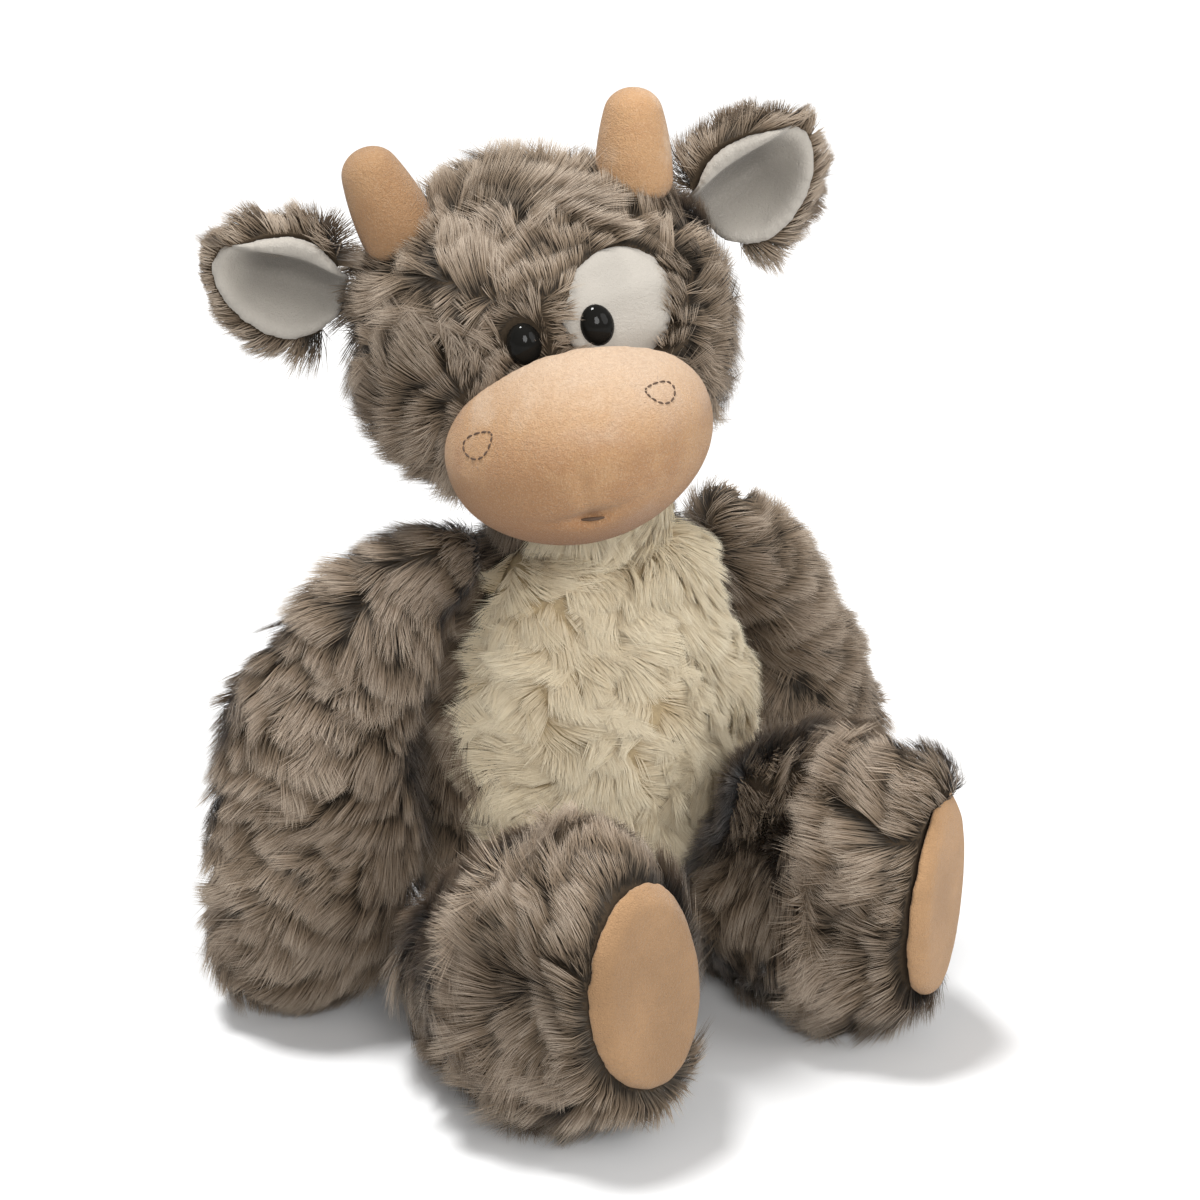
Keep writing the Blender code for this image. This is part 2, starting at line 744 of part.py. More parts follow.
def add_muzzle(make, head_skin):
    place = head_matrix()
    muzzle = muzzle_form()
    world = muzzle.moved(place)
    cover = make.piece("muzzle_cover", world.shell(FINE, PLAIN, velour_wall), "peach_velour", "head")
    fill = world.solid(PLAIN, velour_wall + fill_gap)
    fill = make.piece("muzzle_stuffing", fill, "fibre_stuffing", "head")
    boolean(cover, head_skin)
    boolean(fill, head_skin)

    front = muzzle.surface(-thread_radius - sewn_gap)
    for name, side in (("left_nostril_stitch", 1), ("right_nostril_stitch", -1)):
        lean = nostril_lean if side < 0 else pi - nostril_lean
        points = []
        for i in range(NOSTRIL_POINTS):
            turn = 2 * pi * i / NOSTRIL_POINTS
            pinch = 1 - nostril_point_share * max(cos(turn), 0) ** 3
            x = nostril_width / 2 * cos(turn) / sqrt(pinch)
            z = nostril_height / 2 * sin(turn) * pinch
            across = side * nostril_spread + x * cos(lean) - z * sin(lean)
            rise = nostril_rise + x * sin(lean) + z * cos(lean)
            points.append(place @ on_surface(front, *on_muzzle(across, rise))[0])
        thread(make, name, points, True)
    points = []
    for i in range(MOUTH_POINTS):
        across = mouth_width * (i / (MOUTH_POINTS - 1) - 0.5)
        points.append(place @ on_surface(front, *on_muzzle(across, -mouth_drop))[0])
    thread(make, "mouth_stitch", points, False)


def add_horn(make, name, side, head_skin):
    horn = horn_form(side).moved(head_matrix())
    cover = horn.shell(PLAIN, COARSE, velour_wall)
    cover = make.piece(f"{name}_horn_cover", cover, "peach_velour", "head")
    fill = horn.solid(COARSE, velour_wall + fill_gap)
    fill = make.piece(f"{name}_horn_stuffing", fill, "fibre_stuffing", "head")
    boolean(cover, head_skin)
    boolean(fill, head_skin)


def add_ear(make, name, side, rise):
    """An ear, cut back where it would meet the head anywhere in its flop."""
    head = head_form()
    frame = head_matrix() @ ear_matrix(side, rise, head)
    home = f"{name}_ear"
    make.pivot(home, frame, "head")
    turn = frame.to_3x3()
    swing = joint_frame(frame.translation, turn.col[2], turn.col[0] * side)
    head_surface = head.moved(head_matrix()).surface()
    room = swing_room(head_surface, swing, -ear_flop, ear_flop, ear_width / 2, head_width)
    room = make.cutter(f"{name}_ear_room", room)
    seam = make.cutter(f"{name}_ear_seam", seam_wedge(swing, ear_side_angle, ear_width, ear_length))

    back = ear_sheet(side, ear_length, ear_width, -ear_thickness, 0)
    inset = lining_margin * 2
    lining = ear_sheet(side, ear_length - inset, ear_width - inset, 0, velour_wall)
    bmesh.ops.translate(lining, vec=(side * lining_margin, -sewn_gap, 0), verts=lining.verts)
    for label, bm, finish in (("back", back, "brown_fur"), ("lining", lining, "white_velour")):
        bmesh.ops.translate(bm, vec=(-side * ear_root_cut, 0, 0), verts=bm.verts)
        bmesh.ops.transform(bm, matrix=frame, verts=bm.verts)
        piece = make.piece(f"{name}_ear_{label}", bm, finish, home)
        boolean(piece, seam, "INTERSECT")
        boolean(piece, room)


def add_limb(make, name, form, room, home):
    """The cover and stuffing of an arm or a leg, cut back by the torso's room and level at the ground."""
    cover = make.piece(f"{name}_cover", form.shell(PLAIN, COARSE, fur_wall), "brown_fur", home)
    fill = form.solid(COARSE, fur_wall + fill_gap)
    fill = make.piece(f"{name}_stuffing", fill, "fibre_stuffing", home)
    boolean(cover, room)
    boolean(fill, room)
    boolean(cover, make.ground)
    return cover


def add_arm(make, name, side, shoulder_height):
    arm = arm_form(side, shoulder_height)
    at = arm.spine[0]
    home = f"{name}_arm"
    make.pivot(home, Matrix.Translation(at), "torso")
    axis = Vector((side * cos(arm_axis_drop), 0, -sin(arm_axis_drop)))
    swing = joint_frame(at, axis, (0, 0, -1))
    room = dish_room(torso_form().surface(), swing, shoulder_height, torso_belly_width)
    add_limb(make, home, arm, make.cutter(f"{home}_room", room), home)


def add_leg(make, name, side, spread, foot_reach, yaw):
    leg = leg_form(side, spread, foot_reach, yaw)
    at = Vector((side * hip_spread, 0, hip_height))
    home = f"{name}_leg"
    make.pivot(home, Matrix.Translation(at), "torso")
    swing = joint_frame(at, (1, 0, 0), (0, -1, 0))
    wide = torso_belly_width
    room = swing_room(torso_form().surface(), swing, -leg_lift, leg_drop, wide / 2, wide)
    cover = add_limb(make, home, leg, make.cutter(f"{home}_room", room), home)

    end, _, _, forward = leg.frame(1.0)
    toe = facing(end + Vector((0, 0, sole_rise)), forward)
    sole = leg.shell(PLAIN, COARSE, velour_wall, pile_overhang)
    sole = make.piece(f"{name}_foot_sole", sole, "peach_velour", home)
    reach = (-foot_length / 2, foot_length)
    edge = sewn_gap * 2
    outline = oval_prism(sole_width, sole_height, *reach, toe)
    opening = oval_prism(sole_width + edge, sole_height + edge, *reach, toe)
    boolean(sole, make.cutter(f"{name}_sole_outline", outline), "INTERSECT")
    boolean(cover, make.cutter(f"{name}_sole_opening", opening))


def add_tail(make):
    tail = tail_form()
    at = tail_hinge()
    make.pivot("tail", Matrix.Translation(at), "torso")
    swing = joint_frame(at, (0, 0, 1), (0, 1, 0))
    surface = torso_form().surface()
    room = swing_room(surface, swing, -tail_swing, tail_swing, tail_width, torso_belly_width)
    cord = make.piece("tail_cord", tail.solid(COARSE), "brown_fur", "tail")
    seam = seam_wedge(swing, tail_side_angle, tail_root_height, tail_length * 2)
    boolean(cord, make.cutter("tail_seam", seam), "INTERSECT")
    boolean(cord, make.cutter("tail_room", room))
    boolean(cord, make.ground)
    end = tail.spine[-1] + Vector((0, -tuft_overlap, (tuft_width - tail_width) / 2))
    spine, widths = [end, end + Vector((0, tuft_length, 0))], [tuft_width] * 2
    tuft = Form(spine, widths, widths, (1, 0, 0), tail_bluntness)
    tuft = make.piece("tail_tuft", tuft.solid(COARSE), "brown_fur", "tail")
    boolean(tuft, make.cutter("tuft_seam", tail.solid(COARSE, -sewn_gap)))
    boolean(tuft, make.ground)


def build():
    for old in list(bpy.data.objects):
        bpy.data.objects.remove(old)
    make = Maker()
    make.pivot("torso", Matrix())
    make.pivot("neck", Matrix.Translation(neck_point()), "torso")
    facing_way = Matrix.Rotation(head_turn_angle, 4, "Z")
    make.pivot("head", Matrix.Translation(neck_point()) @ facing_way, "neck")
    add_ground(make)
    neck_room = add_torso(make)
    cover, fill, patch = add_head(make, neck_room)
    add_eye(make, "left_eye", left_eye_across, cover, fill, patch)
    add_eye(make, "right_eye", right_eye_across, cover, fill, patch)
    skin = head_form().moved(head_matrix()).solid(FINE, -sewn_gap)
    head_skin = make.cutter("head_skin", skin)
    add_muzzle(make, head_skin)
    add_horn(make, "left", 1, head_skin)
    add_horn(make, "right", -1, head_skin)
    add_ear(make, "left", 1, left_ear_rise)
    add_ear(make, "right", -1, right_ear_rise)
    add_arm(make, "left", 1, left_shoulder_height)
    add_arm(make, "right", -1, right_shoulder_height)
    add_leg(make, "left", 1, left_foot_spread, left_foot_reach, left_foot_yaw)
    add_leg(make, "right", -1, right_foot_spread, right_foot_reach, right_foot_yaw)
    add_tail(make)


if __name__ == "__main__":
    build()
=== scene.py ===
"""A seated plush cow: stuffed skins, fur grown strand by strand, velour face pieces, eyes and stitching."""

from math import ceil, cos, pi, radians, sin, sqrt

import bmesh
import bpy
import numpy as np
from bpy.props import FloatProperty, FloatVectorProperty, PointerProperty
from bpy.types import Operator, Panel, PropertyGroup
from mathutils import Matrix, Vector
from mathutils.bvhtree import BVHTree
from mathutils.kdtree import KDTree


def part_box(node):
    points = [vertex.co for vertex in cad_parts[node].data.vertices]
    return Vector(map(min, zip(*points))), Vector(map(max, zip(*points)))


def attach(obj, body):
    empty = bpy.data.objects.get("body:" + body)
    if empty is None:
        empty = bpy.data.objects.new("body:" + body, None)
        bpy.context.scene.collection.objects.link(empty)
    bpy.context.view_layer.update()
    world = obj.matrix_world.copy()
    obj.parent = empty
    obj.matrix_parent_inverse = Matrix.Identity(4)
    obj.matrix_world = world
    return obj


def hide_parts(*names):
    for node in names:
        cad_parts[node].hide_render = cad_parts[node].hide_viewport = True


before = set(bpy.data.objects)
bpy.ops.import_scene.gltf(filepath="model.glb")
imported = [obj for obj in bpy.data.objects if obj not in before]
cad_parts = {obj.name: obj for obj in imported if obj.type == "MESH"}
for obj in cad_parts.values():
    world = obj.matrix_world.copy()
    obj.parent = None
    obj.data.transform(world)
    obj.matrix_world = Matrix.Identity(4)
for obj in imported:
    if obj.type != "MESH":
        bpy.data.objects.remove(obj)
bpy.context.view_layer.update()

bl_info = {
    "name": "Plush cow",
    "version": (1, 0, 0),
    "blender": (4, 5, 0),
    "location": "3D View > Sidebar > Plush Cow",
    "description": "Dresses a seated plush cow in fur and velour over its packed parts",
    "category": "Object",
}

# The head's frame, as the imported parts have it
neck_height = 0.150
head_turn = radians(-31)
head_nod = radians(-3)
head_tilt = radians(-12.5)
head_middle = (0, -0.014, 0.056)
muzzle_tilt = radians(-3)

# The camera's view, in the photograph's frame of 1200 by 1200
picture = 1200
film_width = 36
look_turn = radians(-36)
look_rise = radians(22)
look_target = Vector((0.0045, -0.0033, 0.115))
look_across = Vector((cos(look_turn), sin(look_turn), 0))
look_back = Vector((sin(look_turn) * cos(look_rise), -cos(look_turn) * cos(look_rise), sin(look_rise)))

# Where the stitches lie in the photograph, in its pixels, with the nostrils' leans in degrees
mouth_pixel = (592, 519)
mouth_line_start = (580, 520)
mouth_line_run = 27
mouth_line_rise = 0.1
right_nostril_pixel, right_nostril_half, right_nostril_lean = (479, 444), (16.5, 11.5), 42
left_nostril_pixel, left_nostril_half, left_nostril_lean = (660, 392), (15.0, 10.5), 173

# Places on the head, in its own frame. Those of two numbers are across and up.
face_middle = Vector((0.004, -0.055, -0.012))
patch_middle, patch_half = (0.0215, 0.0125), (0.0158, 0.0152)
right_eye_middle, right_eye_half = (-0.0066, 0.0108), (0.0056, 0.0068)
brow_middle = (0.005, 0.006)
ear_root = (0.045, 0.004, 0.016)
ear_seam = (0.048, 0.002, 0.018)
horn_spread, horn_shift, horn_sink = 0.0335, 0.001, 0.0115
horn_lean = radians(12)
crown_height, crown_width = 0.052, 0.121

# How fine the skins are, and the waves of their stuffing
body_voxel = 0.0026
muzzle_voxel = 0.0016
sheet_voxel = 0.0009
lump_size = 0.045
same_place = 1e-5
floor_gap = 0.0002

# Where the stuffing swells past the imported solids
hip_swell = 0.009
paw_swell = 0.0115
shoulder_swell = 0.006
thigh_swell = 0.011
muzzle_shift = 0.0024
mouth_pull, lip_rise, lip_fold = 0.0036, 0.0010, 0.0006
ear_hollow, ear_rim_roll, ear_rim_drop, ear_lift = 0.0062, 0.0052, 0.0022, 0.0058
sole_inset, sole_cover = 0.0015, 0.0012

HEAD = (
    Matrix.Translation((0, 0, neck_height))
    @ Matrix.Rotation(head_turn, 4, "Z")
    @ Matrix.Rotation(head_nod, 4, "X")
    @ Matrix.Rotation(head_tilt, 4, "Y")
    @ Matrix.Translation(head_middle)
)


# Shader maths


class Value:
    """A number that varies over a surface. Sums on it add Math nodes."""

    def __init__(self, finish, socket):
        self.finish = finish
        self.socket = socket

    def maths(self, operation, *numbers):
        node = self.finish.node("ShaderNodeMath", {"operation": operation}, dict(enumerate(numbers)))
        return Value(self.finish, node.outputs[0])

    def __add__(self, other):
        return self.maths("ADD", self, other)

    def __sub__(self, other):
        return self.maths("SUBTRACT", self, other)

    def __mul__(self, other):
        return self.maths("MULTIPLY", self, other)


class Finish:
    """A material with one Principled shader, and the nodes that feed it."""

    def __init__(self, name, roughness, **constants):
        self.material = bpy.data.materials.new(name)
        self.material.use_nodes = True
        self.tree = self.material.node_tree
        self.shader = self.tree.nodes["Principled BSDF"]
        self.shader.inputs["Roughness"].default_value = roughness
        for socket, value in constants.items():
            self.shader.inputs[socket.replace("_", " ")].default_value = value
        self.place = self.node("ShaderNodeTexCoord").outputs["Object"]

    def node(self, kind, settings=None, inputs=None):
        made = self.tree.nodes.new(kind)
        for key, value in (settings or {}).items():
            setattr(made, key, value)
        for key, value in (inputs or {}).items():
            self.feed(made.inputs[key], value)
        return made

    def feed(self, socket, value):
        if isinstance(value, Value):
            value = value.socket
        if isinstance(value, bpy.types.NodeSocket):
            self.tree.links.new(value, socket)
        else:
            socket.default_value = value

    def colour(self, value):
        self.feed(self.shader.inputs["Base Color"], value)

    def noise(self, scale, detail=2.0, rough=0.5, place=None):
        inputs = {"Vector": place or self.place, "Scale": scale, "Detail": detail, "Roughness": rough}
        return Value(self, self.node("ShaderNodeTexNoise", None, inputs).outputs["Fac"])

    def height(self):
        """How high a point of the surface is."""
        return Value(self, self.node("ShaderNodeSeparateXYZ", None, {0: self.place}).outputs[2])

    def ramp(self, value, stops):
        """A colour for each place of a value."""
        node = self.node("ShaderNodeValToRGB", None, {"Fac": value})
        marks = node.color_ramp.elements
        while len(marks) < len(stops):
            marks.new(1.0)
        for mark, (place, colour) in zip(marks, stops):
            mark.position = place
            mark.color = (*colour, 1)
        return node.outputs["Color"]

    def mix(self, share, first, second):
        """A colour between two, by a share."""
        first = (*first, 1) if isinstance(first, tuple) else first
        second = (*second, 1) if isinstance(second, tuple) else second
        node = self.node("ShaderNodeMix", {"data_type": "RGBA"}, {0: share, 6: first, 7: second})
        return node.outputs[2]

    def between(self, value, low, high):
        """0 below low, 1 above high, and smooth in between."""
        settings = {"interpolation_type": "SMOOTHSTEP"}
        inputs = {"Value": value, "From Min": low, "From Max": high}
        return Value(self, self.node("ShaderNodeMapRange", settings, inputs).outputs[0])

    def bump(self, height, strength, distance):
        inputs = {"Height": height, "Strength": strength, "Distance": distance}
        node = self.node("ShaderNodeBump", None, inputs)
        self.feed(self.shader.inputs["Normal"], node.outputs[0])

    def attribute(self, name):
        """The three numbers that a mesh carries under a name."""
        node = self.node("ShaderNodeAttribute", {"attribute_name": name})
        parts = self.node("ShaderNodeSeparateXYZ", None, {0: node.outputs["Vector"]})
        return [Value(self, socket) for socket in parts.outputs]


# Settings


def size(name, description, default, low, high):
    return FloatProperty(
        name=name, description=description, default=default, min=low, max=high, unit="LENGTH", precision=4
    )


def tint(name, description, default):
    return FloatVectorProperty(
        name=name, description=description, default=default, size=3, min=0, max=1, subtype="COLOR"
    )


class FurSettings(PropertyGroup):
    """The long brown fur and the cream fur."""

    length: size("Length", "Length of the brown fur's strands", 0.0145, 0.004, 0.03)
    width: size("Strand width", "Width of a strand at its root", 0.00024, 0.0002, 0.002)
    tier: size("Tier spacing", "Distance between the ragged tiers of the fur", 0.0125, 0.005, 0.04)
    lock: size("Lock size", "Distance between the tips of neighbouring locks", 0.0036, 0.002, 0.02)
    density: FloatProperty(
        name="Density", description="Strands on a square centimetre", default=300, min=5, max=600
    )
    # The roots' dark colour is painted shade deep in the pile, near the skin.
    root: tint("Root colour", "Colour of the brown fur at its roots", (0.024, 0.017, 0.010))
    middle: tint("Middle colour", "Colour of the brown fur half way up", (0.225, 0.163, 0.108))
    tip: tint("Tip colour", "Colour of the brown fur at its tips", (0.535, 0.440, 0.345))
    # The cream roots are darker than the tips as painted shade deep in the pile too.
    cream_root: tint("Cream root colour", "Colour of the cream fur at its roots", (0.58, 0.45, 0.27))
    cream_tip: tint("Cream tip colour", "Colour of the cream fur at its tips", (0.88, 0.79, 0.60))


class VelourSettings(PropertyGroup):
    """The short velour of the muzzle, horns, soles, ear linings and eye patch."""

    peach: tint("Peach", "Colour of the muzzle and the horns", (0.520, 0.308, 0.158))
    # Blush is the muzzle's mottling and also its painted shade towards the bottom; pale peach is mottling and
    # also painted light on its top.
    blush: tint("Blush", "Colour of the muzzle's darker mottling", (0.33, 0.155, 0.070))
    pale: tint("Pale peach", "Colour of the muzzle's pale top and edges", (0.71, 0.550, 0.405))
    sole: tint("Sole", "Colour of the foot soles", (0.41, 0.245, 0.128))
    white: tint("White", "Colour of the eye patch and the ear linings", (0.66, 0.61, 0.54))


class StageSettings(PropertyGroup):
    """The camera and the studio."""

    lens: FloatProperty(
        name="Lens", description="Focal length", default=123, min=20, max=300, subtype="DISTANCE_CAMERA"
    )
    distance: size("Camera distance", "Distance from the camera to what it looks at", 1.25, 0.5, 5)
    sky: FloatProperty(
        name="Sky", description="Strength of the even light from all round", default=0.38, min=0, max=3
    )
    key: FloatProperty(name="Key", description="Strength of the sun", default=2.9, min=0, max=20)


# Skins


def link(name, mesh):
    made = bpy.data.objects.new(name, mesh)
    bpy.context.scene.collection.objects.link(made)
    return made


def finished(name, bm, material, smooth=True):
    """A piece made of a bmesh, with its material on it."""
    mesh = bpy.data.meshes.new(name)
    bm.to_mesh(mesh)
    bm.free()
    mesh.materials.append(material)
    for face in mesh.polygons:
        face.use_smooth = smooth
    return link(name, mesh)


def copied(*meshes):
    """One editable mesh with all of some meshes in it."""
    bm = bmesh.new()
    for mesh in meshes:
        bm.from_mesh(mesh)
    return bm


def packed(*nodes):
    """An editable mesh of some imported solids."""
    return copied(*(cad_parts[node].data for node in nodes))


def tree_over(bm):
    """A search tree over an editable mesh, which it frees."""
    tree = BVHTree.FromBMesh(bm)
    bm.free()
    return tree


def soften(bm, rounds):
    """Smooths a mesh evenly all over."""
    for _ in range(rounds):
        bmesh.ops.smooth_vert(
            bm, verts=bm.verts, factor=0.5, use_axis_x=True, use_axis_y=True, use_axis_z=True
        )


def largest_part(bm):
    """Keeps the outermost shell of a mesh, which has the most points."""
    left = set(bm.verts)
    best = set()
    while left:
        found = {left.pop()}
        edge = list(found)
        while edge:
            near = [other for vert in edge for link_edge in vert.link_edges for other in link_edge.verts]
            edge = [vert for vert in set(near) if vert in left]
            found.update(edge)
            left.difference_update(edge)
        if len(found) > len(best):
            best = found
    bmesh.ops.delete(bm, geom=[vert for vert in bm.verts if vert not in best], context="VERTS")


def stuffed(nodes, voxel, rounds, growth, lumps=0.0, seed=1):
    """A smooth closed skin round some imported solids, grown or shrunk along its normals."""
    bm = packed(*nodes)
    bmesh.ops.remove_doubles(bm, verts=bm.verts, dist=same_place)
    mesh = bpy.data.meshes.new("remesh")
    bm.to_mesh(mesh)
    bm.free()
    draft = link("remesh", mesh)
    remesh = draft.modifiers.new("Remesh", "REMESH")
    remesh.mode = "VOXEL"
    remesh.voxel_size = voxel
    evaluated = draft.evaluated_get(bpy.context.evaluated_depsgraph_get())
    bm = copied(evaluated.to_mesh())
    bpy.data.objects.remove(draft)
    largest_part(bm)
    soften(bm, rounds)
    bm.normal_update()
    swell = lumps * Drift(seed, lump_size)(np.array([vert.co for vert in bm.verts]))
    moves = [vert.normal * (growth + more) for vert, more in zip(bm.verts, swell)]
    for vert, move in zip(bm.verts, moves):
        vert.co += move
    soften(bm, 2)
    bmesh.ops.recalc_face_normals(bm, faces=bm.faces)
    return bm


def fade(value, start, end):
    """0 before the start, 1 after the end, and smooth in between, for one number or many."""
    share = np.clip((value - start) / (end - start), 0, 1)
    return share * share * (3 - 2 * share)


def in_oval(points, middle, half):
    """Which points of the head, in its own frame, are on its front and in an oval."""
    across = (points[:, 0] - middle[0]) / half[0]
    up = (points[:, 2] - middle[1]) / half[1]
    return (across**2 + up**2 < 1) & (points[:, 1] < 0)


def far_from(points, middle):
    """How far points of the head, in its own frame, lie from a place on its front, across and up."""
    return np.sqrt((points[:, 0] - middle[0]) ** 2 + (points[:, 2] - middle[1]) ** 2)


def covered(points, normals, tree, reach):
    """Which points have a surface of the tree within reach above them."""
    found = [
        tree.ray_cast(Vector(point), Vector(normal), reach)[0] is not None
        for point, normal in zip(points, normals)
    ]
    return np.array(found, bool)


class Drift:
    """Smooth seeded waves in space, for what wanders over a surface. Values are mostly within -2 to 2."""

    waves = 14

    def __init__(self, seed, size):
        rng = np.random.default_rng(seed)
        ways = rng.normal(size=(self.waves, 3))
        ways /= np.linalg.norm(ways, axis=1)[:, None]
        self.ways = ways * (2 * pi / size * rng.uniform(0.55, 1.7, self.waves))[:, None]
        self.starts = rng.uniform(0, 2 * pi, self.waves)

    def __call__(self, points):
        return np.sin(points @ self.ways.T + self.starts).sum(axis=1) / sqrt(self.waves / 2)


def sight(scene, across, down):
    """Where the camera is, and the way it looks at a point of the picture."""
    stage = scene.cow_stage
    up = look_back.cross(look_across)
    half = picture / 2
    spread = film_width / picture / stage.lens
    way = look_across * ((across - half) * spread) + up * ((half - down) * spread) - look_back
    return look_target + look_back * stage.distance, way.normalized()


# Fur


def unit(vectors):
    return vectors / np.maximum(np.linalg.norm(vectors, axis=1), 1e-9)[:, None]


def scatter(mesh, density, rng):
    """Points spread at random over a mesh, and its normals there. Density is points a square centimetre."""
    mesh.calc_loop_triangles()
    corners = np.empty(len(mesh.vertices) * 3, np.float32)
    mesh.vertices.foreach_get("co", corners)
    corners = corners.reshape(-1, 3).astype(float)
    normals = np.empty(len(mesh.vertices) * 3, np.float32)
    mesh.vertices.foreach_get("normal", normals)
    normals = normals.reshape(-1, 3).astype(float)
    faces = np.empty(len(mesh.loop_triangles) * 3, np.int32)
    mesh.loop_triangles.foreach_get("vertices", faces)
    faces = faces.reshape(-1, 3)
    a, b, c = (corners[faces[:, i]] for i in range(3))
    areas = np.linalg.norm(np.cross(b - a, c - a), axis=1) / 2
    count = int(areas.sum() * 1e4 * density)
    edges = np.cumsum(areas) / areas.sum()
    pick = np.minimum(np.searchsorted(edges, rng.uniform(size=count)), len(faces) - 1)
    u, v = rng.uniform(size=(2, count))
    flip = u + v > 1
    u[flip], v[flip] = 1 - u[flip], 1 - v[flip]
    w = 1 - u - v
    weights = np.stack([w, u, v], axis=1)[:, :, None]
    points = (corners[faces[pick]] * weights).sum(axis=1)
    return points, unit((normals[faces[pick]] * weights).sum(axis=1))


class Coat:
    """How one kind of fur grows. Lengths are in metres, and angles in radians."""

    def __init__(self, **numbers):
        self.length = 0.0145
        self.rise = 0.0092
        self.tier = 0.0125
        self.tiered = 0.9
        self.overhang = 0.0060
        self.lock = 0.0034
        self.bind = 0.20
        self.wander = 0.30
        self.stray = 0.10
        self.wobble = 0.0042
        self.wavelength = 0.050
        self.sheet = 0.021
        self.broken = 0.75
        self.swing = 0.26
        self.width = 0.00024
        self.density = 300
        # paled moves the roots up the colour ramp, leaving off part of their painted root shade.
        self.paled = 0.0
        self.hug = 1.0
        self.__dict__.update(numbers)


def ribbons(name, roots, knees, tips, normals, width, tones, start, material):
    """Tapered strands as one mesh: each is a curved ribbon of three triangles."""
    count = len(roots)
    steps = np.array([0.0, 0.5, 1.0])
    taper = np.array([0.85, 1.0])
    lines = [roots * (1 - t) ** 2 + knees * (2 * t * (1 - t)) + tips * t**2 for t in steps]
    spin = tones[:, 2] * 2 * pi
    verts = np.empty((count, 5, 3))
    shades = np.empty((count, 5, 3))
    leans = np.empty((count, 5, 3))
    for i in range(2):
        ahead = unit(lines[i + 1] - lines[i])
        side = unit(np.cross(ahead, normals))
        up = np.cross(side, ahead)
        twist = 0.25 * np.sin(spin + i * 0.9)
        side = side * np.cos(twist)[:, None] + up * np.sin(twist)[:, None]
        half = side * (width * taper[i] / 2)[:, None]
        verts[:, 2 * i] = lines[i] - half
        verts[:, 2 * i + 1] = lines[i] + half
        face_normal = np.cross(side, ahead)
        face_normal *= np.sign((face_normal * normals).sum(axis=1) + 1e-9)[:, None]
        lean = unit(normals * 0.7 + face_normal * 0.4)
        leans[:, 2 * i] = leans[:, 2 * i + 1] = lean
        shades[:, 2 * i, 0] = shades[:, 2 * i + 1, 0] = steps[i]
    verts[:, 4] = lines[2]
    leans[:, 4] = lean
    shades[:, 4, 0] = 1
    # A strand's colour runs up the ramp from its start: the lower it starts, the more painted root shade it
    # shows.
    shades[:, :, 0] = start[:, None] + (1 - start[:, None]) * shades[:, :, 0]
    shades[:, :, 1:] = tones[:, None, :2]
    verts = verts.reshape(-1, 3)
    verts[:, 2] = np.maximum(verts[:, 2], floor_gap)

    mesh = bpy.data.meshes.new(name)
    first = np.arange(count)[:, None] * 5
    loops = (first + np.array([0, 1, 3, 2, 2, 3, 4])).ravel()
    starts = (np.arange(count)[:, None] * 7 + np.array([0, 4])).ravel()
    mesh.vertices.add(count * 5)
    mesh.vertices.foreach_set("co", verts.astype(np.float32).ravel())
    mesh.loops.add(count * 7)
    mesh.loops.foreach_set("vertex_index", loops.astype(np.int32))
    mesh.polygons.add(count * 2)
    mesh.polygons.foreach_set("loop_start", starts.astype(np.int32))
    mesh.polygons.foreach_set("use_smooth", np.ones(count * 2, bool))
    mesh.update(calc_edges=True)

    columns = ceil(sqrt(count))
    rows = ceil(count / columns)
    spots = np.arange(count)
    across = np.array([0.15, 0.85, 0.15, 0.85, 0.5])
    along = np.array([0, 0, 0.5, 0.5, 1.0]) * 0.84 + 0.08
    u = ((spots % columns)[:, None] + across) / columns
    v = ((spots // columns)[:, None] + along) / rows
    corners = np.stack([u, v], axis=2).reshape(-1, 2)[loops]
    unwrapped = mesh.uv_layers.new(name="OFBake")
    unwrapped.data.foreach_set("uv", corners.astype(np.float32).ravel())
    strand = mesh.attributes.new("strand", "FLOAT_VECTOR", "POINT")
    strand.data.foreach_set("vector", shades.astype(np.float32).ravel())
    mesh.normals_split_custom_set_from_vertices(leans.reshape(-1, 3))
    mesh.materials.append(material)
    return link(name, mesh)


def nearest(points, count, spacing, density, rng, centres_too=False):
    """Splits points into cells about spacing wide. Gives each point's cell and the number of cells."""
    wanted = max(int(count / density * 1e-4 / spacing**2), 1)
    centres = rng.choice(count, min(wanted, count), replace=False)
    tree = KDTree(len(centres))
    for i, centre in enumerate(centres):
        tree.insert(points[centre], i)
    tree.balance()
    cell = np.array([tree.find(point)[1] for point in points])
    return (cell, len(centres), centres[cell]) if centres_too else (cell, len(centres))


